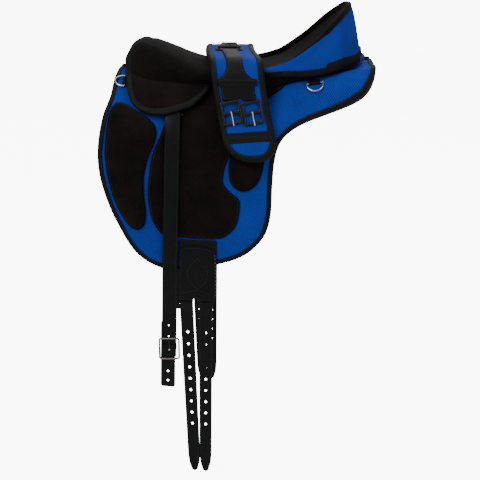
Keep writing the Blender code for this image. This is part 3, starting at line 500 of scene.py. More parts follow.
@dataclass
class Recipe:
    """A material's nodes while they are put together."""

    tree: bpy.types.NodeTree
    shader: bpy.types.Node

    def __post_init__(self) -> None:
        """Add the places by which patterns are laid out."""
        self.places = add(self.tree, "ShaderNodeTexCoord").outputs

    def noise(self, scale: float, detail: float = 2.0, roughness: float = 0.5) -> Socket:
        """Cloudy noise in the piece's own space.

        Args:
            scale: clouds in a metre.
            detail: how many finer layers it has.
            roughness: how strong the finer layers are.

        Returns:
            The noise's value.
        """
        return add(self.tree, "ShaderNodeTexNoise", {
            "Vector": self.places["Object"], "Scale": scale, "Detail": detail,
            "Roughness": roughness}).outputs["Fac"]

    def spread(self, value: Socket, given: Pair, wanted: Pair = (0.0, 1.0)) -> Socket:
        """A value whose given range is stretched to the wanted one.

        Args:
            value: the value.
            given: its range.
            wanted: the range that it gets.

        Returns:
            The new value.
        """
        return add(self.tree, "ShaderNodeMapRange", {
            "Value": value, "From Min": given[0], "From Max": given[1], "To Min": wanted[0],
            "To Max": wanted[1]}).outputs["Result"]

    def mixed(self, share: Socket, first: str, second: str) -> Socket:
        """A colour between two sRGB hex values."""
        return add(self.tree, "ShaderNodeMix", {0: share, 6: linear(first), 7: linear(second)},
                   data_type="RGBA").outputs[2]

    def give(self, name: str, value: Socket) -> None:
        """Link a value to one of the shader's sockets."""
        self.tree.links.new(value, self.shader.inputs[name])

    def emboss(self, height: Socket, strength: float, depth: float) -> None:
        """Give the surface a fine relief, its depth in metres."""
        relief = add(self.tree, "ShaderNodeBump", {"Height": height, "Strength": strength, "Distance": depth})
        self.give("Normal", relief.outputs["Normal"])


@dataclass(frozen=True)
class Finish:
    """A material's name and its even values."""

    name: str
    slot: str
    roughness: float = 0.6
    metallic: float = 0.0
    ior: float = 1.5
    sheen: float = 0.0
    sheen_roughness: float = 0.45

    def pattern(self, recipe: Recipe) -> None:
        """Add the finish's own colour and relief."""

    def material(self) -> bpy.types.Material:
        """The material, made the first time it is asked for.

        Returns:
            The material.
        """
        made = bpy.data.materials.get(self.name)
        if made is None:
            made = bpy.data.materials.new(self.name)
            made.use_nodes = True
            tree = made.node_tree
            tree.nodes.clear()
            values = {"Roughness": self.roughness, "Metallic": self.metallic, "IOR": self.ior}
            if self.sheen:
                values.update({"Sheen Weight": self.sheen, "Sheen Roughness": self.sheen_roughness})
            shader = add(tree, "ShaderNodeBsdfPrincipled", values)
            add(tree, "ShaderNodeOutputMaterial", {"Surface": shader.outputs["BSDF"]})
            self.pattern(Recipe(tree, shader))
        return made


@dataclass(frozen=True)
class AirMesh(Finish):
    """Polyester spacer mesh, knitted with rows of small round holes: a lively, matt royal blue."""

    yarn: str = "#0A41B0"
    # The darker hole colour is painted shade inside the knit's holes
    hole: str = "#021E7A"
    # Real holes are about 2 mm apart; drawn at 3.6 mm so that they show in a picture of this size
    pitch: float = 0.0036
    turn: float = math.radians(38.0)

    def pattern(self, recipe: Recipe) -> None:
        """Holes on a slanted grid with painted shade inside them, over the yarn colour, which a painted sheen
        lightens and darkens in clouds.

        Args:
            recipe: the material's nodes.
        """
        tree = recipe.tree
        turned = add(tree, "ShaderNodeMapping", {
            "Vector": recipe.places["UV"], "Rotation": (0.0, 0.0, self.turn),
            "Scale": (1.0 / self.pitch, 0.8 / self.pitch, 1.0)})
        holes = add(tree, "ShaderNodeTexVoronoi", {"Vector": turned.outputs["Vector"], "Scale": 1.0,
                                                   "Randomness": 0.08}, voronoi_dimensions="2D")
        rim = recipe.spread(holes.outputs["Distance"], (0.18, 0.46))
        # Painted sheen: the yarn colour is scaled lighter and darker in soft clouds
        shade = recipe.spread(recipe.noise(14.0, 3.0), (0.3, 0.7), (0.82, 1.12))
        # Mixes the painted hole shade with the yarn colour, then scales it by the painted sheen
        tinted = add(tree, "ShaderNodeVectorMath", {
            0: recipe.mixed(rim, self.hole, self.yarn), "Scale": shade}, operation="SCALE")
        recipe.give("Base Color", tinted.outputs["Vector"])
        recipe.emboss(rim, 0.6, 0.0006)


@dataclass(frozen=True)
class Suede(Finish):
    """Microfibre suede, its nap lying two ways from brushing: nearly black with a brown cast, the lighter
    patches a painted sheen.
    """

    nap: str = "#090506"
    # Lighter colour of the brushed nap: painted sheen where the nap catches the light, not a dye
    brushed: str = "#1D1514"
    # Brush marks are some 30 mm long, and the grain of the nap about 0.8 mm
    marks: float = 20.0
    grain: float = 900.0

    def pattern(self, recipe: Recipe) -> None:
        """Cloudy brush marks over a fine grain: the marks are real, their lighter colour is painted sheen of
        the nap.

        Args:
            recipe: the material's nodes.
        """
        marks, grain = recipe.noise(self.marks, 4.0, 0.6), recipe.noise(self.grain)
        both = add(recipe.tree, "ShaderNodeMath", {0: marks, 1: grain}, operation="MULTIPLY")
        share = recipe.spread(both.outputs["Value"], (0.14, 0.38))
        # Mixes the suede's own dark nap with the lighter painted sheen of the brushed marks
        recipe.give("Base Color", recipe.mixed(share, self.nap, self.brushed))
        recipe.emboss(grain, 0.35, 0.0005)


@dataclass(frozen=True)
class WovenTape(Finish):
    """Nylon tape, woven with cross ribs: black with a dull silky gleam."""

    ground: str = "#050505"
    rib: str = "#0D0D0C"
    # Real ribs are 0.9 mm apart; drawn at 2 mm so that they show
    pitch: float = 0.002

    def pattern(self, recipe: Recipe) -> None:
        """Ribs across the tape.

        Args:
            recipe: the material's nodes.
        """
        wave = add(recipe.tree, "ShaderNodeTexWave", {
            "Vector": recipe.places["UV"], "Scale": math.pi / (10.0 * self.pitch), "Distortion": 0.4,
            "Detail": 1.0}, wave_type="BANDS", bands_direction="X")
        ribs = wave.outputs["Fac"]
        recipe.give("Base Color", recipe.mixed(ribs, self.ground, self.rib))
        recipe.emboss(ribs, 0.4, 0.0003)


@dataclass(frozen=True)
class BridleLeather(Finish):
    """Vegetable-tanned leather, dyed black and waxed: fine pebbled grain, soft highlights."""

    dye: str = "#060606"
    worn: str = "#0D0D0D"
    # Grain cells are 0.7 mm across; drawn at 1.4 mm so that they show
    cell: float = 0.0014

    def pattern(self, recipe: Recipe) -> None:
        """Pebbled grain with faint rubbed patches.

        Args:
            recipe: the material's nodes.
        """
        grain = add(recipe.tree, "ShaderNodeTexVoronoi", {
            "Vector": recipe.places["Object"], "Scale": 1.0 / self.cell, "Randomness": 1.0}, feature="F1")
        rubbed = recipe.noise(24.0, 5.0, 0.65)
        share = recipe.spread(rubbed, (0.45, 0.75))
        recipe.give("Base Color", recipe.mixed(share, self.dye, self.worn))
        gloss = (self.roughness + 0.06, self.roughness - 0.1)
        recipe.give("Roughness", recipe.spread(rubbed, (0.3, 0.8), gloss))
        recipe.emboss(grain.outputs["Distance"], 0.25, 0.0003)


@dataclass(frozen=True)
class Steel(Finish):
    """Steel wire or stampings, plated and tumbled: faint fine scratches on a bright or dark ground."""

    metal: str = "#D8D9DC"
    dull: str = "#B9BBC0"
    # Tumbling marks are about 0.3 mm across; drawn at 1 mm
    marks: float = 1000.0

    def pattern(self, recipe: Recipe) -> None:
        """Fine marks in the colour and the gloss.

        Args:
            recipe: the material's nodes.
        """
        marks = recipe.noise(self.marks)
        recipe.give("Base Color", recipe.mixed(marks, self.metal, self.dull))
        gloss = (self.roughness - 0.05, self.roughness + 0.08)
        recipe.give("Roughness", recipe.spread(marks, (0.3, 0.7), gloss))


@dataclass(frozen=True)
class Thread(Finish):
    """Bonded nylon sewing thread, twisted: small dull highlights on each stitch."""

    dye: str = "#2B2B2C"
    shade: str = "#171718"
    # The thread's shade changes every 3 mm, about once a stitch
    change: float = 300.0

    def pattern(self, recipe: Recipe) -> None:
        """A little unevenness from stitch to stitch."""
        recipe.give("Base Color", recipe.mixed(recipe.noise(self.change), self.shade, self.dye))


AIR_MESH = AirMesh("polyester_air_mesh", "blue_air_mesh", roughness=0.75, ior=1.28)
SUEDE = Suede("brushed_microfibre_suede", "black_suede", roughness=0.95, ior=1.2, sheen=0.06)
# Felt in the suede's pattern: its lighter brushed colour is painted sheen
PANEL_FELT = Suede("needled_wool_felt", "panel_felt", roughness=0.95, ior=1.4, sheen=0.1,
                   nap="#1A1A1C", brushed="#2A2A2D")
TAPE = WovenTape("woven_nylon_tape", "black_binding", roughness=0.62, ior=1.3)
LEATHER = BridleLeather("waxed_bridle_leather", "black_leather", roughness=0.55, ior=1.3)
CUT_EDGE = BridleLeather("bare_cut_leather_edge", "black_leather", roughness=0.7,
                         dye="#5A2A1C", worn="#7C4433")
CHROME = Steel("chromed_steel_wire", "bright_steel", roughness=0.12, metallic=1.0)
GUNMETAL = Steel("blackened_steel_stamping", "dark_steel", roughness=0.28, metallic=1.0,
                 metal="#4A4A4E", dull="#2E2E31")
STEEL = Steel("drawn_steel_wire_frame", "bright_steel", roughness=0.3, metallic=1.0,
              metal="#A6A39E", dull="#75726E")
THREAD = Thread("bonded_nylon_thread", "black_binding", roughness=0.5)
PALE_THREAD = Thread("pale_edge_thread", "black_binding", roughness=0.5, dye="#9A9A98", shade="#6E6E6C")
# Its lighter brushed colour is painted sheen, as on the suede
BOARD = Suede("pressed_fibre_board", "stiffener_board", roughness=0.8, nap="#2C2A28", brushed="#3A3734")


# Meshes


def within(points: Array, outline: Array) -> Array:
    """Whether each point lies inside a closed outline.

    Args:
        points: the points, one a row.
        outline: the outline's points.

    Returns:
        True for each point that lies inside.
    """
    x, y = points[:, 0], points[:, 1]
    inside = np.zeros(len(points), bool)
    for (ax, ay), (bx, by) in zip(outline, np.roll(outline, -1, axis=0)):
        crosses = (ay > y) != (by > y)
        rise = by - ay if abs(by - ay) > 1e-12 else 1e-12
        inside ^= crosses & (x < ax + (y - ay) * (bx - ax) / rise)
    return inside


def ring_faces(rows: int, columns: int, closed: bool = False, slide: int = 0, first: int = 0
               ) -> list[Sequence[int]]:
    """The faces between rings of points, with one over each end when the row of rings is open.

    Args:
        rows: how many rings there are.
        columns: how many points each ring has.
        closed: whether the last ring joins the first.
        slide: how many points further on the last ring meets the first.
        first: the number of the first point.

    Returns:
        The faces.
    """
    faces: list[Sequence[int]] = []
    for row in range(rows if closed else rows - 1):
        here, after = first + row * columns, first + (row + 1) % rows * columns
        shift = slide if row == rows - 1 else 0
        for column in range(columns):
            right = (column + 1) % columns
            faces.append((here + column, here + right, after + (right + shift) % columns,
                          after + (column + shift) % columns))
    if not closed:
        last = first + (rows - 1) * columns
        faces += [tuple(range(first, first + columns)), tuple(range(last, last + columns))]
    return faces


@dataclass
class Workshop:
    """Where finished pieces go: their collection, their body and the nodes that they take over."""

    made: list[bpy.types.Object] = field(default_factory=list)

    def put(self, name: str, points: Array, faces: Iterable[Sequence[int]], finish: Finish, body: str,
            takes: Sequence[str] = (), flat: Array | None = None, fill: float = 0.0,
            sharp: float = 50.0) -> bpy.types.Object:
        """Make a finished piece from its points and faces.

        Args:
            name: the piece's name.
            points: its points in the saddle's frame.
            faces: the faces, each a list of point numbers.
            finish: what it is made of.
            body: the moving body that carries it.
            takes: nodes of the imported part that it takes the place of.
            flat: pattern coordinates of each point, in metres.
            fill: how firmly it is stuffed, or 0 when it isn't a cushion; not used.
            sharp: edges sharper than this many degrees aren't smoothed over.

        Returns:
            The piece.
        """
        mesh = bpy.data.meshes.new(name)
        mesh.from_pydata([tuple(point) for point in points], [],
                         [tuple(int(k) for k in face) for face in faces])
        cage = bmesh.new()
        cage.from_mesh(mesh)
        bmesh.ops.remove_doubles(cage, verts=cage.verts[:], dist=1e-6)
        bmesh.ops.recalc_face_normals(cage, faces=cage.faces[:])
        if cage.calc_volume(signed=True) < 0.0:
            bmesh.ops.reverse_faces(cage, faces=cage.faces[:])
        cage.to_mesh(mesh)
        cage.free()
        if flat is not None and len(mesh.vertices) == len(flat):
            layer = mesh.uv_layers.new(name="pattern")
            corners = np.empty(len(mesh.loops), int)
            mesh.loops.foreach_get("vertex_index", corners)
            layer.data.foreach_set("uv", np.asarray(flat, float)[corners].ravel())
        mesh.shade_smooth()
        mesh.set_sharp_from_angle(angle=math.radians(sharp))
        mesh.materials.append(finish.material())
        piece = bpy.data.objects.new(name, mesh)
        bpy.context.scene.collection.objects.link(piece)
        if takes:
            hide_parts(*takes)
        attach(piece, body)
        self.made.append(piece)
        LOG.info("%s: %d faces, on %s", name, len(mesh.polygons), body)
        return piece

    def slab(self, name: str, outline: Array, place: Place, profile: Profile, finish: Finish, body: str,
             rounding: float, spacing: float = 0.007, holes: Sequence[Array] = (), **more: object
             ) -> bpy.types.Object:
        """Lay a flat outline over a surface as a piece with round edges.

        Args:
            name: the piece's name.
            outline: its closed outline in the surface's own distances.
            place: the surface.
            profile: gives the lifts of its two faces from place and distance to the edge.
            finish: what it is made of.
            body: the moving body that carries it.
            rounding: how far in from the edge the rounding reaches.
            spacing: distance between points inside.
            holes: closed outlines of holes through it.
            more: other arguments of put.

        Returns:
            The piece.
        """
        points, faces = filled(outline, holes, rounding, spacing)
        edge = edge_distance(points, outline)
        for hole in holes:
            edge = np.minimum(edge, edge_distance(points, hole))
        share = 1.0 - np.clip(edge / rounding, 0.0, 1.0)
        fullness = np.sqrt(np.maximum(1.0 - share ** 2, 0.0))
        low, high = profile(points[:, 0], points[:, 1], edge)
        middle, half = (low + high) / 2.0, (high - low) / 2.0 * fullness
        top = place(points[:, 0], points[:, 1], middle + half)
        bottom = place(points[:, 0], points[:, 1], middle - half)
        count = len(points)
        rim = edge < 1e-5
        under = np.where(rim, np.arange(count), np.arange(count) + count)
        everything = np.vstack([top, bottom])
        loops = [tuple(face) for face in faces] + [tuple(under[list(face)][::-1]) for face in faces]
        used = np.unique(np.array(loops))
        order = np.full(2 * count, -1)
        order[used] = np.arange(len(used))
        flat = np.vstack([points, points])[used]
        return self.put(name, everything[used], order[np.array(loops)], finish, body, flat=flat, **more)

    def band(self, name: str, path: Array, place: Place, section: Array, finish: Finish, body: str,
             closed: bool = False, **more: object) -> bpy.types.Object:
        """Run a section along a path on a surface, the section's first coordinate to the path's left.

        Args:
            name: the piece's name.
            path: points in the surface's own distances.
            place: the surface.
            section: closed section, each point a distance beside the path and a lift.
            finish: what it is made of.
            body: the moving body that carries it.
            closed: whether the path is closed.
            more: other arguments of put.

        Returns:
            The piece.
        """
        side = lefts(path, closed)
        grid = path[:, None, :] + side[:, None, :] * section[None, :, :1]
        points = place(grid[..., 0], grid[..., 1], np.broadcast_to(section[:, 1], grid.shape[:2]))
        flat = chart(walked(path), walked(section))
        return self.rings(name, points, finish, body, closed=closed, flat=flat, **more)

    def rings(self, name: str, points: Array, finish: Finish, body: str, closed: bool = False,
              flat: Array | None = None, **more: object) -> bpy.types.Object:
        """Join rings of points into one closed piece, as for put.

        Args:
            name: the piece's name.
            points: rings of points, one ring a row.
            finish: what it is made of.
            body: the moving body that carries it.
            closed: whether the last ring joins the first.
            flat: pattern coordinates of the points.
            more: other arguments of put.

        Returns:
            The piece.
        """
        spread = None if flat is None else flat.reshape(-1, 2)
        return self.put(name, points.reshape(-1, 3), ring_faces(*points.shape[:2], closed), finish, body,
                        flat=spread, **more)

    def wires(self, name: str, runs: Sequence[Array], radius: float, finish: Finish, body: str,
              closed: bool = True, sides: int = 14, **more: object) -> bpy.types.Object:
        """Bend round wire along runs of points, all one piece.

        Args:
            name: the piece's name.
            runs: each wire's points.
            radius: the wire's radius.
            finish: what it is made of.
            body: the moving body that carries it.
            closed: whether each wire is a closed loop.
            sides: sides of the round section.
            more: other arguments of put.

        Returns:
            The piece.
        """
        points, faces = [], []
        for run in runs:
            ring, loop = tube(run, radius, closed, sides)
            faces += [[k + len(points) for k in face] for face in loop]
            points += list(ring)
        return self.put(name, np.array(points), faces, finish, body, **more)

    def stitches(self, name: str, lines: Sequence[Array], place: Place, lift: float, body: str,
                 finish: Finish = THREAD, pitch: float = 0.0042, length: float = 0.0032,
                 radius: float = 0.00045) -> bpy.types.Object:
        """Sew lines of stitches on a surface, all one piece.

        Args:
            name: the piece's name.
            lines: each seam's points in the surface's own distances.
            place: the surface.
            lift: the lift of the face that is sewn.
            body: the moving body that carries it.
            finish: the thread.
            pitch: distance from one stitch to the next.
            length: length of one stitch.
            radius: the thread's radius.

        Returns:
            The piece.
        """
        sides, caps = 6, (-1.0, -0.82, -0.4, 0.4, 0.82, 1.0)
        points, faces = [], []
        for line in lines:
            fine = even(np.asarray(line, float), pitch)
            middles = (fine[1:] + fine[:-1]) / 2.0
            ways = fine[1:] - fine[:-1]
            ways /= np.linalg.norm(ways, axis=1, keepdims=True)
            for middle, way in zip(middles, ways):
                start, end = middle - way * length / 2, middle + way * length / 2
                a, b = place(start[0], start[1], lift), place(end[0], end[1], lift)
                out = place(middle[0], middle[1], lift + 0.001) - place(middle[0], middle[1], lift)
                out /= np.linalg.norm(out)
                across = np.cross(out, b - a)
                across /= np.linalg.norm(across)
                base = len(points)
                for share in caps:
                    size = radius * math.sqrt(max(1.0 - share ** 4, 0.02))
                    centre = (a + b) / 2 + (b - a) / 2 * share + out * radius * (0.45 - 0.5 * share ** 2)
                    for k in range(sides):
                        angle = math.tau * k / sides
                        points.append(centre + (across * math.cos(angle) + out * math.sin(angle)) * size)
                faces += ring_faces(len(caps), sides, first=base)
        return self.put(name, np.array(points), faces, finish, body)


def filled(outline: Array, holes: Sequence[Array], rounding: float, spacing: float
           ) -> tuple[Array, list[list[int]]]:
    """Fill an outline with triangles, finest along its edges.

    Args:
        outline: the closed outline.
        holes: closed outlines inside it that stay open.
        rounding: how far in from the edges the fine rows reach.
        spacing: distance between points inside.

    Returns:
        The points and the triangles.
    """
    loops = [np.asarray(outline), *(np.asarray(hole) for hole in holes)]
    inner: list[Array] = []
    for number, loop in enumerate(loops):
        inward = 1.0 if number == 0 else -1.0
        for share in (0.06, 0.25, 0.58, 1.0):
            row = inset(loop, inward * rounding * share)
            away = np.min([edge_distance(row, other) for other in loops], axis=0)
            inner.append(row[away > rounding * share * 0.93])
    low, high = loops[0].min(axis=0), loops[0].max(axis=0)
    rows = np.arange(low[1] + spacing / 2, high[1], spacing * 0.87)
    grid = [(x + (spacing / 2 if k % 2 else 0.0), y) for k, y in enumerate(rows)
            for x in np.arange(low[0] + spacing / 3, high[0], spacing)]
    inside = np.array(grid) if grid else np.empty((0, 2))
    if len(inside):
        away = np.min([edge_distance(inside, loop) for loop in loops], axis=0)
        inside = inside[(away > rounding + spacing * 0.45) & within(inside, loops[0])]
        inner.append(inside)
    rims, edges = [], []
    for loop in loops:
        start = sum(len(rim) for rim in rims)
        edges += [(start + k, start + (k + 1) % len(loop)) for k in range(len(loop))]
        rims.append(loop)
    loose = np.vstack(inner)
    keep = within(loose, loops[0])
    for hole in loops[1:]:
        keep &= ~within(loose, hole)
    given = [Vector((float(x), float(y))) for x, y in np.vstack([*rims, loose[keep]])]
    found = delaunay_2d_cdt(given, edges, [], 0, 1e-7)
    points = np.array([tuple(point) for point in found[0]])
    faces = np.array([list(face) for face in found[2]])
    centres = points[faces].mean(axis=1)
    keep = within(centres, loops[0])
    for hole in loops[1:]:
        keep &= ~within(centres, hole)
    return points, faces[keep].tolist()


def tube(points: Array, radius: float, closed: bool, sides: int) -> tuple[Array, list[Sequence[int]]]:
    """A round wire along points: its own points and faces.

    Args:
        points: the wire's middle line.
        radius: the wire's radius.
        closed: whether the wire is a closed loop.
        sides: sides of the round section.

    Returns:
        The points and the faces.
    """
    run = np.roll(points, -1, axis=0) - np.roll(points, 1, axis=0)
    if not closed:
        run[0], run[-1] = points[1] - points[0], points[-1] - points[-2]
    run /= np.linalg.norm(run, axis=1, keepdims=True)
    across = np.cross(run[0], (0.31, 0.87, 0.37))
    rows = []
    for point, way in zip(points, run):
        across = across - way * (across @ way)
        across /= np.linalg.norm(across)
        other = np.cross(way, across)
        angles = np.linspace(0.0, math.tau, sides, endpoint=False)[:, None]
        rows.append(point + (np.cos(angles) * across + np.sin(angles) * other) * radius)
    slide = 0
    if closed:
        first = [np.roll(rows[0], -k, axis=0) for k in range(sides)]
        slide = int(np.argmin([np.linalg.norm(ring - rows[-1]) for ring in first]))
    return np.vstack(rows), ring_faces(len(rows), sides, closed, slide)


def level(low: float, high: float) -> Profile:
    """Faces at two even lifts."""
    return lambda x, distance, edge: (np.full(len(x), low), np.full(len(x), high))


def topped(low: float, high: Height) -> Profile:
    """An even underside, and a top that depends on the place and on the distance to the edge."""
    return lambda x, distance, edge: (np.full(len(x), low), high(x, distance, edge))


def ripple(x: Array, distance: Array, size: float, seed: float = 0.0) -> Array:
    """Soft unevenness of stuffed or laid cloth, about 60 mm from crest to crest.

    Args:
        x: distance along the saddle.
        distance: distance down from the ridge.
        size: height of the waves.
        seed: shifts the waves.

    Returns:
        The height at each place.
    """
    a, b = x * 96.0 + seed, distance * 83.0 - seed
    return size * (np.sin(a + 1.7 * np.sin(b)) * np.cos(b * 0.7 + 1.3 * np.sin(a * 0.6))
                   + 0.4 * np.sin(a * 2.3 + b * 1.9))


def domed(low: float, edge_lift: float, crown: float, reach: float, seed: float = 0.0) -> Profile:
    """A face that swells from its edge to its middle, with the soft unevenness of stuffing.

    Args:
        low: lift of the even face.
        edge_lift: lift of the swelling face at its edge.
        crown: how much higher its middle stands.
        reach: distance from the edge to the full height.
        seed: shifts the unevenness.

    Returns:
        The profile.
    """
    def high(x: Array, distance: Array, edge: Array) -> Array:
        """The lift of the swelling face."""
        inward = np.clip(edge / reach, 0.0, 1.0)
        return edge_lift + crown * np.sin(inward * math.pi / 2) + ripple(x, distance, 0.0004, seed) * inward

    return topped(low, high)


def tape_section(width: float, low: float, high: float, outer: float, inner: float) -> Array:
    """The section of a tape folded over an edge, rounded at the edge and at its two hems.

    Args:
        width: how far the tape reaches in from the edge.
        low: lift of its lower face.
        high: lift of its upper face.
        outer: radius at the edge.
        inner: radius at the hems.

    Returns:
        The section's points, each a distance from the edge and a lift.
    """
    points = []
    for u, v, radius, start in ((outer, high - outer, outer, math.pi / 2),
                                (outer, low + outer, outer, math.pi),
                                (width - inner, low + inner, inner, 1.5 * math.pi),
                                (width - inner, high - inner, inner, 2 * math.pi)):
        steps = 5 if radius > inner else 3
        for step in range(steps + 1):
            angle = start + math.pi / 2 * step / steps
            points.append((u + radius * math.cos(angle), v + radius * math.sin(angle)))
    return np.array(points)


# The saddle's parts


@dataclass
class Flaps:
    """The base pads of both sides, with their bindings, panels and the strip over the spine."""

    shop: Workshop
    arch: Arch
    front: float = -0.29
    length: float = 0.573
    drop: float = 0.497
    thickness: float = 0.014
    binding: float = 0.0105
    proud: float = 0.0014
    half_gap: float = 0.018
    shares: Table = (
        (0.054, 0.036), (0.048, 0.17), (0.042, 0.29), (0.018, 0.4), (0.0, 0.53), (0.003, 0.63),
        (0.023, 0.72), (0.06, 0.82), (0.13, 0.944), (0.225, 1.0), (0.325, 0.998), (0.42, 0.972),
        (0.49, 0.948), (0.545, 0.913), (0.595, 0.85), (0.617, 0.765), (0.622, 0.65), (0.63, 0.54),
        (0.65, 0.467), (0.69, 0.42), (0.755, 0.383), (0.907, 0.336), (0.96, 0.3), (0.99, 0.235),
        (1.0, 0.15), (1.0, 0.036))
    panel_shares: Table = (
        (0.0, 0.35), (0.04, 0.1), (0.14, 0.0), (0.5, 0.0), (0.86, 0.0), (0.96, 0.1), (1.0, 0.4),
        (0.97, 0.72), (0.86, 0.94), (0.6, 1.0), (0.35, 1.0), (0.12, 0.92), (0.02, 0.68))
    panel_place: Pair = (-0.222, 0.036)
    panel_size: Pair = (0.48, 0.116)
    panel_edge: float = 0.008
    panel_crown: float = 0.02
    spine_start: float = -0.244
    spine_length: float = 0.506
    spine_width: float = 0.0354

    def edge(self) -> Array:
        """The outer edge of a base pad, from the pommel to the cantle.

        Returns:
            The edge's points.
        """
        line = smooth(sized(self.shares, (self.front, 0.0), (self.length, self.drop)), steps=10)
        line[0, 1] = line[-1, 1] = self.half_gap
        return even(line, 0.006)

    def build_base(self, side: Side) -> None:
        """Build one side's pad.

        Args:
            side: which side.
        """
        place = one_side(self.arch.under, side)
        edge = self.edge()
        inner = beside(edge, -(self.binding - 0.003))
        inner[0, 1] = inner[-1, 1] = self.half_gap
        across = np.linspace(inner[-1, 0], inner[0, 0], 60)[1:-1]
        inner = np.vstack([inner, np.stack([across, np.full(len(across), self.half_gap)], 1)])

        soft = topped(-self.thickness, lambda x, d, e: (
            self.arch.bulge(x, d) + ripple(x, d, 0.00025, 0.4) * np.clip(e / 0.02, 0.0, 1.0)))
        self.shop.slab(f"base_pad_{side.tag}", inner, place, soft, AIR_MESH, "saddle", 0.0022,
                       takes=(f"base_{side.tag}",), fill=0.7)

    def build_binding(self, side: Side) -> None:
        """Build the tape round one side's pad, with its seam.

        Args:
            side: which side.
        """
        place = one_side(self.arch.under, side)
        edge = self.edge()
        width = self.binding
        low, high = -self.thickness - self.proud, self.proud
        section = tape_section(width, low, high, 0.0062, 0.0008) * (-1.0, 1.0)

        def over(x: Array, distance: Array, lift: Array) -> Array:
            """The pad's faces: its underside is flat, its top follows the padding."""
            share = np.clip((lift + self.thickness) / self.thickness, 0.0, 1.0)
            return place(x, distance, lift + self.arch.bulge(x, distance) * share)

        self.shop.band(f"flap_tape_{side.tag}", edge, over, section, TAPE, "saddle",
                       takes=(f"flap_binding_{side.tag}",))
        self.shop.stitches(f"flap_tape_seam_{side.tag}", [beside(edge, -(width - 0.0022))[3:-3]], over, high,
                           "saddle")

    def build_panel(self, side: Side) -> None:
        """Build the stuffed panel under one side's pad.

        Args:
            side: which side.
        """
        corners = sized(self.panel_shares, self.panel_place, self.panel_size)
        outline = even(smooth(corners, True, 8), 0.006, True)
        top = -self.thickness - 0.0003

        def panel(x: Array, distance: Array, edge: Array) -> tuple[Array, Array]:
            """A flat top, and an underside that swells downward."""
            swell = self.panel_crown * np.sin(np.clip(edge / 0.058, 0.0, 1.0) * math.pi / 2)
            return top - self.panel_edge - swell, np.full(len(x), top)

        self.shop.slab(f"panel_pad_{side.tag}", outline, one_side(self.arch.under, side), panel, PANEL_FELT,
                       "saddle", 0.006, takes=(f"panel_{side.tag}",), fill=0.7)

    def build_spine(self) -> None:
        """Build the strip over the spine channel."""
        middle = self.spine_start + self.spine_length / 2
        outline = even(rounded_box(self.spine_length, self.spine_width, 0.0176) + (middle, 0.0), 0.006, True)
        self.shop.slab("spine_tape", outline, self.arch.under, level(-0.006, -0.001), TAPE, "saddle", 0.0015,
                       takes=("spine_strip",))


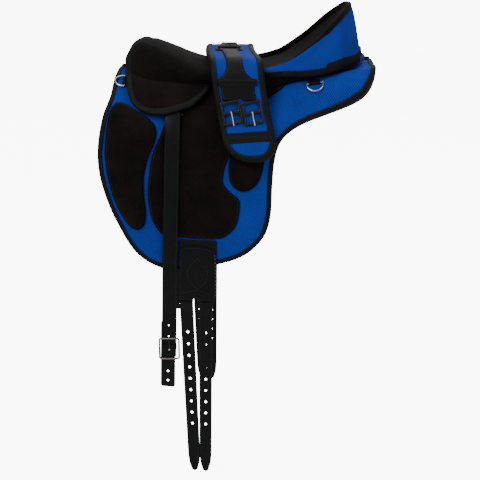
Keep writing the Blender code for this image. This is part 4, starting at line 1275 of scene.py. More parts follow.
@dataclass
class Seat:
    """The padded seat with its rolled cantle, blue cantle cover, skirts and tapes."""

    shop: Workshop
    arch: Arch
    front: float = -0.246
    length: float = 0.503
    half_span: float = 0.118
    half_width: float = 0.132
    height: float = 0.128
    foot: float = 0.015
    cover_front: float = 0.03
    sections: tuple[tuple[float, ...], ...] = (
        (0.0, 0.17, 0.11, 0.128, 0.16), (0.012, 0.47, 0.27, 0.206, 0.253), (0.036, 0.72, 0.38, 0.344, 0.41),
        (0.082, 0.85, 0.455, 0.429, 0.522), (0.147, 0.89, 0.57, 0.371, 0.504),
        (0.229, 0.89, 0.68, 0.258, 0.407), (0.31, 0.89, 0.795, 0.138, 0.302),
        (0.41, 0.865, 0.87, 0.105, 0.222), (0.509, 0.89, 0.925, 0.134, 0.199),
        (0.598, 0.95, 0.985, 0.151, 0.13), (0.64, 0.978, 1.0, 0.178, 0.144),
        (0.688, 1.0, 1.0, 0.231, 0.168), (0.763, 1.0, 0.962, 0.408, 0.246),
        (0.817, 0.983, 0.894, 0.557, 0.366), (0.867, 0.93, 0.76, 0.722, 0.53),
        (0.903, 0.85, 0.59, 0.828, 0.716), (0.93, 0.72, 0.36, 0.908, 0.883),
        (0.95, 0.635, 0.23, 0.93, 0.969), (0.968, 0.525, 0.21, 0.684, 0.781),
        (0.986, 0.38, 0.167, 0.357, 0.422), (1.0, 0.21, 0.09, 0.131, 0.163))
    roll_front: float = -0.015
    roll_back: float = 0.2265
    roll_reach: float = 0.0052
    back_start: float = 0.23
    roll_rise: Table = (
        (-0.015, 0.0015), (0.03, 0.006), (0.05, 0.0088), (0.075, 0.0095), (0.105, 0.0105), (0.12, 0.01),
        (0.14, 0.0092), (0.16, 0.0088), (0.23, 0.0088))
    roll_drop: Table = (
        (-0.015, 0.0015), (0.03, 0.002), (0.19, 0.0022), (0.2, 0.0032), (0.21, 0.0046), (0.218, 0.0066),
        (0.2225, 0.009), (0.24, 0.009))
    cover_rise: Table = (
        (0.03, 0.006), (0.05, 0.009), (0.075, 0.01), (0.105, 0.0112), (0.12, 0.0106), (0.14, 0.009),
        (0.16, 0.0046), (0.175, 0.0028), (0.19, 0.0004), (0.2, -0.0009), (0.21, -0.0022), (0.218, -0.0044),
        (0.2225, -0.007), (0.24, -0.006))
    tape_foot: Table = (
        (0.034, 0.666), (0.049, 0.63), (0.063, 0.54), (0.076, 0.4), (0.091, 0.19), (0.106, 0.017),
        (0.119, -0.06), (0.2, -0.07), (0.225, -0.04), (0.238, 0.0), (0.257, 0.0))
    tape_hem: Table = (
        (0.034, 1.11), (0.049, 1.1), (0.063, 1.05), (0.076, 0.962), (0.091, 0.821), (0.106, 0.591),
        (0.119, 0.4), (0.132, 0.296), (0.148, 0.224), (0.161, 0.178), (0.174, 0.136))
    even_hem: float = 0.174
    hem_height: float = 0.0172
    skirt: Table = (
        (-0.06, 0.101), (-0.0675, 0.129), (-0.0972, 0.161), (-0.1212, 0.1745), (-0.1471, 0.1832),
        (-0.1652, 0.1858), (-0.1865, 0.1842), (-0.206, 0.1778), (-0.2203, 0.1641), (-0.227, 0.1468),
        (-0.2307, 0.1326), (-0.2328, 0.1193), (-0.2345, 0.101), (-0.2372, 0.08), (-0.239, 0.06))
    skirt_top: Table = (
        (-0.232, 0.055), (-0.215, 0.07), (-0.19, 0.085), (-0.12, 0.093), (-0.06, 0.093))
    skirt_rise: float = 0.0052
    skirt_low: float = 0.0113
    skirt_high: float = 0.0168
    ring_place: float = -0.139
    seam_place: float = -0.188
    seam_depth: float = 0.0016
    cover_thickness: float = 0.0016
    tape_thickness: float = 0.0036
    back_thickness: float = 0.0019
    front_tape_thickness: float = 0.0022

    def rows(self) -> Array:
        """Sections along the seat: place, half span, rim width, rim height and middle height.

        Returns:
            A section a row.
        """
        size = (self.length, self.half_span, self.half_width, self.height, self.height)
        rows = smooth(sized(self.sections, (self.front, 0.0, 0.0, 0.0, 0.0), size))
        rows[:, 3:] += self.arch.ridge(rows[:, :1])
        return rows

    def between(self, start: float, end: float = math.inf) -> Array:
        """The sections from one place along the seat to another."""
        rows = self.rows()
        return rows[(rows[:, 0] >= start) & (rows[:, 0] <= end)]

    def wall(self, row: Array, shares: Array, out: float = 0.0) -> Array:
        """The right side's wall of a section, from its foot to its rim.

        Args:
            row: the section.
            shares: how far up the wall each point lies.
            out: distance outside the wall.

        Returns:
            The points.
        """
        x, span, width, height, _ = row
        foot = self.arch.over(x, span, self.foot)
        rim = np.array([x, width, height])
        points = foot + (rim - foot) * shares[:, None]
        points[:, 1] += 0.006 * np.sin(shares * math.pi) + out
        return points

    def outside(self, row: Array, shares: Array, lean: float) -> Array:
        """The right side's wall of a section, going on over the rolled rim where a share is above 1.

        Args:
            row: the section.
            shares: how far up the wall each point lies.
            lean: how much of the roll's reach the line goes out beside the rim.

        Returns:
            The points.
        """
        line = self.wall(row, np.minimum(shares, 1.0))
        tall = max(row[3] - self.wall(row, np.array([0.0]))[0, 2], 0.01)
        beyond = (shares - 1.0) * tall
        line[:, 1] += self.roll_reach * lean * ramp((beyond + 0.009) / 0.009)
        line[:, 1] -= 0.0022 * lean * np.clip(beyond / 0.01, 0.0, 1.0) ** 2
        line[:, 2] += np.maximum(beyond, 0.0)
        return line

    def build(self) -> None:
        """Build the seat's body and its cantle."""
        loops = []
        shares = np.linspace(0.0, 1.0, 9)
        for row in self.rows():
            x, span, width, height, middle = row
            wall = self.wall(row, shares)
            turns = np.linspace(1.0, 0.0, 17)[1:]
            swell = ripple(np.full(16, x), turns * width, 0.0005, 0.2) * (1.0 - turns ** 6)
            swell -= self.seam_depth * math.exp(-((x - self.seam_place) / 0.005) ** 2)
            heights = middle + (height - middle) * turns ** 2 + swell
            top = np.stack([np.full(16, x), width * turns, heights], 1)
            soft = np.vstack([wall, top])
            soft[7:11, 2] -= np.array([0.0004, 0.0016, 0.0012, 0.0003])
            soft[8, 1] -= 0.0012
            half = soft[:-1]
            mirrored = half * (1.0, -1.0, 1.0)
            spans = np.linspace(span, 0.0, 12)
            under = self.arch.under(x, spans, 0.0044 + 1.1 * self.arch.bulge(x, spans))
            left = under[:-1][::-1] * (1.0, -1.0, 1.0)
            loops.append(np.vstack([mirrored, soft[-1:], half[::-1], under, left]))
        self.shop.rings("seat", np.array(loops), SUEDE, "saddle", takes=("seat_cushion",), fill=0.8)
        self.build_cover()
        self.build_back()
        self.build_roll()
        self.build_front_tape()

    def build_cover(self) -> None:
        """Build the blue cover behind the cantle and the tape round its foot."""
        chosen = self.between(self.cover_front)
        x = chosen[:, 0]
        foot, hem = read_off(self.tape_foot, x), read_off(self.tape_hem, x)
        start = np.clip((x - self.cover_front) / 0.012, 0.05, 1.0)
        rise = read_off(self.cover_rise, x)
        tall = np.array([row[3] - self.wall(row, np.array([0.0]))[0, 2] for row in chosen])
        edge = 1.0 + rise / np.maximum(tall, 0.01)
        short = 1.0 + (self.hem_height - tall) / np.maximum(tall, 0.01)
        even_hem = np.where(tall > self.hem_height, self.hem_height / np.maximum(tall, 0.01), short)
        hem = np.where(x > self.even_hem, even_hem, hem)
        leans = np.clip((rise + 0.001) / 0.004, 0.0, 1.0)
        for name, low, high, thick, sunk, finish, takes in (
                ("cantle_cover", foot + 0.02, edge, self.cover_thickness, 0.0012, AIR_MESH, ()),
                ("cantle_tape", foot, hem, self.tape_thickness, 0.0008, TAPE, ("cover_binding",))):
            columns = 14
            fullness = np.sin(np.linspace(0.0, math.pi, columns)) ** 0.3
            loops, ups = [], []
            for row, bottom, top, share, lean in zip(chosen, low, high, start, leans):
                line = self.outside(row, np.linspace(bottom, top, columns), lean)
                rear = float(ramp((row[0] - 0.2) / 0.05))
                way = np.array([0.9 * rear, 1.0 - 0.3 * rear, 0.0])
                outer = line + way * (fullness * thick * share)[:, None]
                loops.append(np.vstack([outer, (line - way * sunk)[::-1]]))
                ups.append(np.concatenate([walked(line), walked(line)[::-1]]))
            right, up = np.array(loops), np.array(ups)
            points = np.concatenate([right * (1.0, -1.0, 1.0), right[::-1]])
            self.shop.rings(name, points, finish, "saddle", takes=takes,
                            flat=chart(walked(points[:, 4]), np.concatenate([up, up[::-1]])))

    def build_roll(self) -> None:
        """Build the padded suede roll round the cantle's rim, which thins out along the seat's sides."""
        chosen = self.between(self.roll_front, self.roll_back)
        right = chosen[:, [0, 2, 3]]
        peak = [[self.roll_back + 0.005, turn * 0.016, right[-1, 2] + 0.0015] for turn in (-1.0, 1.0)]
        path = np.vstack([right * (1.0, -1.0, 1.0), peak, right[::-1]])
        path = even(smooth(even(path, 0.012), steps=6), 0.005)
        run = np.gradient(path, axis=0)
        run /= np.linalg.norm(run, axis=1, keepdims=True)
        out = np.stack([run[:, 1], -run[:, 0], np.zeros(len(run))], 1)
        out /= np.linalg.norm(out, axis=1, keepdims=True)
        up = np.cross(run, out)
        up *= np.sign(up[:, 2:])
        grown = ramp((path[:, 0] - self.roll_front) / 0.085)
        below, above = read_off(self.roll_drop, path[:, 0]), read_off(self.roll_rise, path[:, 0])
        tall, centre = (above + below) / 2.0, (above - below) / 2.0
        wide = 0.0035 + 0.0011 * grown
        angles = np.linspace(0.0, math.tau, 24, endpoint=False)
        ring_out, ring_up = np.cos(angles), np.sin(angles)
        square = 1.0 / (np.abs(ring_out) ** 2.6 + np.abs(ring_up) ** 2.6) ** (1 / 2.6)
        loops = (path[:, None] + up[:, None] * centre[:, None, None]
                 + out[:, None] * ((ring_out * square)[None, :, None] * wide[:, None, None])
                 + up[:, None] * ((ring_up * square)[None, :, None] * tall[:, None, None]))
        self.shop.rings("cantle_roll", loops, SUEDE, "saddle", takes=("rim_roll",), fill=0.8)

    def build_back(self) -> None:
        """Build the blue cover over the back of the cantle, from one foot over the middle to the other."""
        loops = []
        for row in self.between(self.back_start):
            x, _, width, height, middle = row
            wall = self.wall(row, np.linspace(0.03, 1.0, 10))
            turns = np.linspace(1.0, 0.0, 10)[1:]
            top = np.stack([np.full(9, x), width * turns, middle + (height - middle) * turns ** 2], 1)
            half = np.vstack([wall, top])
            loops.append(np.vstack([half * (1.0, -1.0, 1.0), half[:-1][::-1]]))
        grid = np.array(loops)
        out = np.cross(np.gradient(grid, axis=1), np.gradient(grid, axis=0))
        out /= np.maximum(np.linalg.norm(out, axis=2, keepdims=True), 1e-9)
        out *= np.sign(out[len(grid) // 2, grid.shape[1] // 2] @ np.array([1.0, 0.0, 0.3]))
        fullness = np.sin(np.linspace(0.0, math.pi, len(grid)))[:, None, None] ** 0.3
        outer, inner = grid + out * self.back_thickness * fullness, grid - out * 0.001
        points = np.concatenate([outer, inner[::-1]]).transpose(1, 0, 2)
        up = walked(outer[:, grid.shape[1] // 2])
        self.shop.rings("cantle_back", points, AIR_MESH, "saddle",
                        flat=chart(walked(points[:, 2]), np.concatenate([up, up[::-1]])))

    def build_front_tape(self) -> None:
        """Build the tape up the front edge of each side of the seat, above its skirt."""
        chosen = self.between(self.front + 0.004, self.front + 0.019)
        shares = np.linspace(-0.15, 0.9, 14)
        thick = self.front_tape_thickness * np.sin(np.linspace(0.0, math.pi, len(chosen))) ** 0.35
        for side in Side:
            grid = np.array([self.wall(row, shares) for row in chosen])
            out = np.cross(np.gradient(grid, axis=0), np.gradient(grid, axis=1))
            out /= np.linalg.norm(out, axis=2, keepdims=True)
            out *= np.sign(out[:, :, 1:2])
            outer, inner = grid + out * thick[:, None, None], grid - out * 0.0012
            points = np.concatenate([outer, inner[::-1]]).transpose(1, 0, 2) * (1.0, side.value, 1.0)
            self.shop.rings(f"seat_front_tape_{side.tag}", points, TAPE, "saddle",
                            flat=chart(walked(points[:, 2]), np.linspace(0.0, 0.03, points.shape[1])))

    def build_skirt(self, side: Side) -> None:
        """Build one side's suede skirt and the tape along its edge.

        Args:
            side: which side.
        """
        flat = one_side(self.arch.over, side)

        def place(x: Array, distance: Array, lift: Array) -> Array:
            """The saddle's surface, raised where the skirt lies over the stirrup leather."""
            near = ramp((0.04 - np.abs(np.asarray(x, float) - self.ring_place)) / 0.016)
            return flat(x, distance, lift + self.skirt_rise * near * ramp((distance - 0.148) / 0.014))

        edge = even(smooth(self.skirt, steps=8), 0.005)
        low, high = self.skirt_low, self.skirt_high
        outline = np.vstack([beside(edge, 0.004), even(smooth(self.skirt_top, steps=6), 0.005)])
        soft = topped(low, lambda x, d, e: high + ripple(x, d, 0.0004, 1.1) * np.clip(e / 0.02, 0.0, 1.0))
        self.shop.slab(f"skirt_{side.tag}", outline, place, soft, SUEDE, "saddle", 0.003,
                       takes=(f"seat_skirt_{side.tag}",))
        section = tape_section(0.0112, low - 0.0009, high + 0.0009, 0.0035, 0.0008)
        self.shop.band(f"skirt_tape_{side.tag}", edge, place, section, TAPE, "saddle")


@dataclass
class Blocks:
    """The suede patch on a flap, with its padded knee and thigh blocks."""

    shop: Workshop
    arch: Arch
    patch: Table = (
        (0.27, 0.0), (0.265, 0.17), (0.15, 0.25), (0.085, 0.39), (0.035, 0.5), (0.01, 0.62), (0.0, 0.74),
        (0.01, 0.84), (0.04, 0.93), (0.1, 0.995), (0.2, 1.0), (0.46, 1.0), (0.535, 0.975), (0.585, 0.925),
        (0.61, 0.86), (0.615, 0.76), (0.56, 0.71), (0.505, 0.65), (0.515, 0.56), (0.54, 0.5), (0.65, 0.31),
        (0.8, 0.13), (0.89, 0.085), (0.935, 0.045), (0.9, 0.01), (0.75, 0.0), (0.6, 0.0))
    knee: Table = (
        (0.03, 0.28), (0.1, 0.1), (0.22, 0.0), (0.38, 0.0), (0.62, 0.055), (0.9, 0.12), (0.99, 0.2),
        (0.93, 0.3), (0.81, 0.42), (0.73, 0.56), (0.72, 0.7), (0.75, 0.84), (0.73, 0.95), (0.6, 1.0),
        (0.44, 0.97), (0.28, 0.88), (0.14, 0.75), (0.04, 0.58), (0.0, 0.42))
    thigh: Table = (
        (0.12, 0.1), (0.3, 0.0), (0.7, 0.0), (0.95, 0.08), (1.0, 0.3), (0.93, 0.62), (0.78, 0.86),
        (0.56, 0.98), (0.38, 1.0), (0.15, 0.92), (0.02, 0.72), (0.02, 0.42))

    def build(self, side: Side) -> None:
        """Build one side's patch and blocks.

        Args:
            side: which side.
        """
        place = one_side(self.arch.over, side)
        patch = even(smooth(sized(self.patch, (-0.189, 0.096), (0.306, 0.331)), True, 8), 0.005, True)
        soft = topped(0.0, lambda x, d, e: 0.0036 + ripple(x, d, 0.0004, 2.2) * np.clip(e / 0.015, 0.0, 1.0))
        self.shop.slab(f"suede_patch_{side.tag}", patch, place, soft, SUEDE, "saddle", 0.0025,
                       takes=(f"thigh_patch_{side.tag}",))
        self.shop.stitches(f"suede_patch_seam_{side.tag}", [inset(patch, 0.004)], place,
                           0.0034, "saddle")
        for name, shares, start, size, edge, crown in (
                ("knee", self.knee, (-0.272, 0.166), (0.101, 0.251), 0.01, 0.018),
                ("thigh", self.thigh, (-0.021, 0.232), (0.068, 0.093), 0.006, 0.013)):
            outline = even(smooth(sized(shares, start, size), True, 8), 0.005, True)
            self.shop.slab(f"{name}_pad_{side.tag}", outline, place,
                           domed(0.0003, edge, crown, size[0] / 2, 0.7), SUEDE, "saddle", 0.008,
                           spacing=0.005, takes=(f"{name}_block_{side.tag}",), fill=0.75)
            foot = inset(outline, -0.0015)
            self.shop.wires(f"{name}_piping_{side.tag}", [place(foot[:, 0], foot[:, 1], 0.0024)], 0.0016,
                            SUEDE, "saddle", sides=10)


@dataclass
class StrapWork:
    """The billets with their leather patch and webbing tab, and the stirrup straps."""

    shop: Workshop
    arch: Arch
    patch: Table = (
        (0.0, 0.12), (0.02, 0.08), (0.08, 0.04), (0.22, 0.01), (0.5, 0.0), (0.78, 0.02), (0.93, 0.06),
        (0.98, 0.11), (1.0, 0.17), (1.0, 0.9), (0.92, 1.0), (0.51, 1.0), (0.508, 0.972), (0.48, 0.943),
        (0.44, 0.935), (0.4, 0.943), (0.372, 0.972), (0.37, 1.0), (0.0, 1.0))
    patch_place: Pair = (-0.126, 0.444)
    patch_size: Pair = (0.077, 0.116)
    patch_low: float = 0.0038
    patch_high: float = 0.007
    seam_middle: float = -0.0885
    tab_size: Pair = (0.078, 0.035)
    tab_place: Pair = (-0.087, 0.4485)
    billet_end: float = 0.402
    billet_width: float = 0.028
    billet_thickness: float = 0.0036
    billet_top: float = 0.0011
    first_hole: float = 0.068
    hole_pitch: float = 0.027
    hole_count: int = 9
    ring_bar: float = 0.1785
    ring_top: float = 0.15
    ring_width: float = 0.041
    ring_wire: float = 0.002
    ring_lift: float = 0.0055
    bar_lift: float = 0.0095
    strap_lean: float = -0.03
    stirrup_x: float = -0.136
    hang: float = 0.5
    strap_width: float = 0.031
    strap_thickness: float = 0.0028
    strap_low: float = 0.0072
    buckle_width: float = 0.0415
    buckle_height: float = 0.0464
    buckle_wire: float = 0.0021
    stitch: float = 0.0045
    # The two holes that both layers of a leather share, at the tongue
    shared_holes: Pair = (0.621, 0.646)

    def build_patch(self, side: Side) -> None:
        """Build one side's leather patch, its stitching and the webbing tab above it.

        Args:
            side: which side.
        """
        place = one_side(self.arch.over, side)
        tab = even(rounded_box(*self.tab_size, 0.003, 3) + self.tab_place, 0.004, True)
        self.shop.slab(f"webbing_tab_{side.tag}", tab, place, level(0.0003, 0.0035), TAPE, "saddle", 0.0012,
                       takes=(f"billet_tab_{side.tag}",))
        outline = even(sized(self.patch, self.patch_place, self.patch_size), 0.0025, True)
        high = self.patch_high
        worn = topped(self.patch_low, lambda x, d, e: (high + 0.0005 * ramp((e - 0.002) / 0.004)
                                                       + ripple(x, d, 0.0002, 3.0)))
        self.shop.slab(f"leather_patch_{side.tag}", outline, place, worn, LEATHER, "saddle", 0.0014,
                       spacing=0.005, takes=(f"billet_patch_{side.tag}",))
        edge = inset(outline, 0.0035)
        half = smooth([(0.0, 0.4685), (0.0095, 0.478), (0.019, 0.4915), (0.0208, 0.503), (0.015, 0.5205),
                       (0.0, 0.5345)])
        drop = np.vstack([half, (half * (-1.0, 1.0))[::-1]]) + (self.seam_middle, 0.0)
        join = smooth([(-0.031, 0.545), (-0.0165, 0.5395), (0.0, 0.5368), (0.0165, 0.5415),
                       (0.0365, 0.5515)]) + (self.seam_middle, 0.0)
        self.shop.stitches(f"patch_seams_{side.tag}", [looped(edge), drop, join], place, high + 0.0004,
                           "saddle", pitch=self.stitch)
        right = edge[edge[:, 0] > -0.0545]
        right = right[np.argsort(right[:, 1])]
        self.shop.stitches(f"patch_edge_thread_{side.tag}", [right + (0.0012, 0.0)], place, high + 0.0002,
                           "saddle", PALE_THREAD, pitch=0.0075, length=0.0028)

    def build_billet(self, side: Side, name: str, x: float, lean: float) -> None:
        """Build one billet, which hangs from the end of the leather patch.

        Args:
            side: which side.
            name: which of the two billets it is.
            x: its place along the saddle.
            lean: how far it moves along the saddle for its drop.
        """
        body = f"billet_{name}_{side.tag}"
        thick = self.billet_thickness
        top = self.arch.over(x, 0.56 * side.value, 0.0051) - (0.0, 0.0, self.billet_top + thick / 2)

        def place(across: Array, down: Array, lift: Array) -> Array:
            """Places on the hanging billet."""
            across, down, lift = alike(across, down, lift)
            return top + np.stack([across + lean * down, side.value * lift, -down], -1)

        half = self.billet_width / 2
        corners = np.array([(-half, -thick / 2), (half, -thick / 2), (half, 0.36), (half * 0.86, 0.38),
                            (half * 0.45, 0.3985), (0.0, self.billet_end), (-half * 0.45, 0.3985),
                            (-half * 0.86, 0.38), (-half, 0.36)])
        corners[:, 0] *= 1.0 - 0.06 * np.clip(corners[:, 1] / 0.36, 0.0, 1.0)
        outline = even(corners, 0.004, True)
        drops = self.first_hole + self.hole_pitch * np.arange(self.hole_count)
        holes = [oval(0.0, drop, 0.0026, 0.003) for drop in drops]
        worn = topped(-thick / 2, lambda u, d, e: thick / 2 + 0.0003 * ramp((e - 0.0028) / 0.003))
        self.shop.slab(f"billet_strap_{name}_{side.tag}", outline, place, worn, LEATHER, body, 0.0013,
                       spacing=0.005, holes=holes, takes=(body,))
        lining = even(rounded_box(self.billet_width, 0.0215, 0.002, 3) + (x, 0.5548), 0.003, True)

        def bent(x: Array, distance: Array, edge: Array) -> tuple[Array, Array]:
            """The lining's faces, bent inward below the patch to leave the billet its swing."""
            below = ramp((distance - 0.5575) / 0.002)
            return 0.0002 - 0.0014 * below, 0.0038 - 0.0032 * below

        self.shop.slab(f"billet_lining_{name}_{side.tag}", lining, one_side(self.arch.over, side), bent,
                       LEATHER, "saddle", 0.0006, spacing=0.002)
        seam = np.array([(half * 0.84, 0.004), *((u * 0.82, d - 0.003) for u, d in corners[2:]),
                         (-half * 0.84, 0.004)])
        self.shop.stitches(f"billet_seam_{name}_{side.tag}", [seam], place, thick / 2 + 0.0001, body,
                           pitch=self.stitch)

    def leather_place(self, side: Side) -> Place:
        """The surface that a stirrup leather follows: down the flap, then straight down.

        Args:
            side: which side.

        Returns:
            The surface.
        """
        def place(x: Array, distance: Array, lift: Array) -> Array:
            """Places on that surface.

            Args:
                x: distance from the leather's middle line.
                distance: distance down.
                lift: distance out.

            Returns:
                The points.
            """
            x, distance, lift = alike(x, distance, lift)
            shifted = x + self.stirrup_x + (distance - self.ring_bar) * self.strap_lean
            point = self.arch.over(shifted, side.value * np.minimum(distance, self.hang), lift)
            point[..., 2] -= np.maximum(distance - self.hang, 0.0)
            return point

        return place

    def build_ring(self, side: Side) -> None:
        """Build the ring that one side's stirrup leather hangs from.

        Args:
            side: which side.
        """
        place = one_side(self.arch.over, side)
        spot = Spot.on(place, self.stirrup_x, self.ring_top, self.ring_lift)
        down = place(self.stirrup_x, self.ring_bar, self.bar_lift) - spot.origin
        skew = spot.across * (spot.across @ down)
        spot = Spot.of(spot.origin + skew / 2, spot.across, down - skew, spot.out)
        reach = float(np.linalg.norm(down - skew))
        box = even(rounded_box(self.ring_width, reach, 0.004, 5) + (0.0, reach / 2), 0.0015, True)
        self.shop.wires(f"strap_ring_{side.tag}", [spot.at(box[:, 0], box[:, 1], 0.0)], self.ring_wire,
                        GUNMETAL, "saddle", takes=(f"stirrup_ring_{side.tag}",))

    def build_leather(self, side: Side) -> None:
        """Build one side's stirrup leather: its fold over the ring, its two layers and their seams.

        Args:
            side: which side.
        """
        body = f"stirrup_strap_{side.tag}"
        line = self.leather_place(side)
        thick, low = self.strap_thickness, self.strap_low
        near = self.ring_wire + 0.0003 + thick / 2
        back = self.bar_lift - near
        turn = np.linspace(-math.pi / 2, -1.5 * math.pi, 14)
        fold = np.stack([self.ring_bar + near * np.cos(turn), self.bar_lift + near * np.sin(turn)], 1)
        path = np.vstack([[(0.225, back), (0.2, back)], fold,
                          [(0.2, self.bar_lift + near), (0.2235, back + thick + 0.0004),
                           (0.2285, low + thick / 2), (0.25, low + thick / 2)]])
        self.shop.rings(f"leather_fold_{side.tag}", ribbon(path, thick, self.strap_width, 0.0, line), LEATHER,
                        body, takes=(f"stirrup_leather_{side.tag}",))
        under = low - thick - 0.0002
        layers = (("leather_strap", 0.236, 0.693, 0.002, 0.0, low, self.shared_holes),
                  ("leather_tail", 0.612, 0.765, 0.004, -0.0022, under, (*self.shared_holes, 0.728, 0.75)))
        for name, start, end, corner, shift, under, drops in layers:
            box = even(rounded_box(self.strap_width, end - start, corner, 4) + (shift, (start + end) / 2),
                       0.004, True)
            holes = [oval(shift, at, 0.0022, 0.0024) for at in drops]
            self.shop.slab(f"{name}_{side.tag}", box, line, level(under, under + thick), LEATHER, body,
                           0.0011, spacing=0.0055, holes=holes)
        seams = [even(np.array([(edge, 0.24), (edge, 0.6)]), 0.004) for edge in (-0.0128, 0.0128)]
        self.shop.stitches(f"leather_seam_{side.tag}", seams, line, low + thick, body, pitch=self.stitch)

    def build_leather_buckle(self, side: Side) -> None:
        """Build the buckle, keeper loop and tongue of one side's stirrup leather.

        Args:
            side: which side.
        """
        body = f"stirrup_strap_{side.tag}"
        line = self.leather_place(side)
        top = self.strap_low + self.strap_thickness
        frame = Spot.of(line(0.0, 0.65, top + 0.0003 + 0.0018), np.array([1.0, 0.0, 0.0]),
                        np.array([0.035, 0.0, -1.0]), np.array([0.0, float(side.value), 0.0]))
        height = self.buckle_height
        box = even(rounded_box(self.buckle_width, height, 0.0042, 5) + (0.0, height / 2), 0.0018, True)
        self.shop.wires(f"leather_buckle_{side.tag}", [frame.at(box[:, 0], box[:, 1], 0.0)], self.buckle_wire,
                        STEEL, body, takes=(f"stirrup_buckle_{side.tag}",))
        loop = ribbon(np.array([(0.664, top + 0.0006), (0.672, top + 0.0006)]), 0.0012, 0.033, 0.0, line)
        self.shop.rings(f"leather_loop_{side.tag}", loop, LEATHER, body)
        tongue = f"stirrup_tongue_{side.tag}"
        reach = np.linspace(0.0034, height * 0.52, 14)
        rod = frame.at(0.0, reach, 0.0004 + 0.0008 * np.sin(np.linspace(0.0, math.pi, 14)))
        self.shop.wires(f"leather_buckle_tongue_{side.tag}", [rod], 0.0013, GUNMETAL, tongue, closed=False,
                        takes=(tongue,))
        tip = frame.at(0.0, reach[-1] + np.linspace(-0.0012, 0.0024, 6), 0.001)
        self.shop.wires(f"leather_buckle_tip_{side.tag}", [tip], 0.0018, CHROME, tongue, closed=False)

    def build_webbing(self) -> None:
        """Build the webbing that joins the rings over the saddle."""
        near = self.ring_wire + 0.0003 + 0.0009
        turn = np.linspace(math.pi / 2, -math.pi / 2, 12)
        half = np.vstack([[(0.124, self.ring_lift + near)],
                          np.stack([self.ring_top + near * np.cos(turn),
                                    self.ring_lift + near * np.sin(turn)], 1),
                          [(0.124 - near, 0.0015), (0.09, 0.0015), (0.05, 0.0015), (0.0, 0.0015)]])
        path = np.vstack([half, half[-2::-1] * (-1.0, 1.0)])
        self.shop.rings("webbing", ribbon(path, 0.0018, 0.029, self.stirrup_x, self.arch.over), TAPE,
                        "saddle", takes=("stirrup_webbing",))


def oval(x: float, distance: float, half_width: float, half_height: float) -> Array:
    """A small oval outline about a place."""
    turns = np.linspace(0.0, math.tau, 16, endpoint=False)
    return np.stack([x + half_width * np.cos(turns), distance + half_height * np.sin(turns)], 1)


def ribbon(path: Array, thickness: float, width: float, x: float, place: Place) -> Array:
    """Rings of a strap folded along a path of distances and lifts.

    Args:
        path: distance down the surface and lift of each point.
        thickness: how thick the strap is.
        width: how wide the strap is.
        x: the place of its middle line along the saddle.
        place: the surface.

    Returns:
        The rings' points.
    """
    out = lefts(path)
    edge = thickness / 2
    section = [(-width / 2 + edge * 0.6, -edge), (width / 2 - edge * 0.6, -edge), (width / 2, -edge * 0.3),
               (width / 2, edge * 0.3), (width / 2 - edge * 0.6, edge), (-width / 2 + edge * 0.6, edge),
               (-width / 2, edge * 0.3), (-width / 2, -edge * 0.3)]
    across = np.array(section)
    grid = path[:, None, :] + out[:, None, :] * across[None, :, 1:]
    return place(x + np.broadcast_to(across[:, 0], grid.shape[:2]), grid[..., 0], grid[..., 1])


def hinge(name: str) -> tuple[Array, Array]:
    """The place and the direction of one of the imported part's hinges."""
    joints = {joint["name"]: joint for joint in frame["record"]["behaviour"]["joints"]}
    return np.array(joints[name]["pos_m"]), np.array(joints[name]["axis"])


@dataclass
class Rings:
    """The D rings with their folded keepers."""

    shop: Workshop
    arch: Arch
    width: float = 0.037
    depth: float = 0.019
    radius: float = 0.0018

    def build(self, side: Side) -> None:
        """Build the front and the rear ring of one side.

        Args:
            side: which side.
        """
        place = one_side(self.arch.over, side)
        rear = Spot.on(place, 0.152, 0.1255, 0.0044)
        front = Spot.on(place, -0.2395, 0.1015, 0.0042)
        front = Spot.of(front.origin, front.down, -front.across * np.sign(front.across[0]), front.out)
        for name, spot in (("rear", rear), ("front", front)):
            origin, axis = hinge(f"d_ring_{name}_{side.tag}_lift")
            spot = Spot.of(origin, axis * np.sign(axis @ spot.across), spot.down, spot.out)
            half = self.width / 2 - self.radius
            turns = np.linspace(0.0, math.pi, 28)
            arc = np.stack([half * np.cos(turns), (self.depth - self.radius) * np.sin(turns) + 0.002], 1)
            bar = np.stack([np.linspace(-half, half, 14), np.zeros(14)], 1)
            loop = even(np.vstack([bar, arc]), 0.0016, True)
            body = f"d_ring_{name}_{side.tag}"
            self.shop.wires(f"steel_{body}", [spot.at(loop[:, 0], loop[:, 1], 0.0)], self.radius, CHROME,
                            body, takes=(body,))
            near = self.radius + 0.0003 + 0.0007
            turn = np.linspace(-0.75 * math.pi, 0.75 * math.pi, 14)
            fold = np.vstack([[(-0.008, -near / 2)], np.stack([near * np.cos(turn), near * np.sin(turn)], 1),
                              [(-0.008, -near / 2 + 0.0017)]])
            rings = ribbon(fold, 0.0014, 0.024, 0.0, spot.at)
            self.shop.rings(f"keeper_{name}_{side.tag}", rings, TAPE, "saddle",
                            takes=(f"d_keeper_{name}_{side.tag}",))


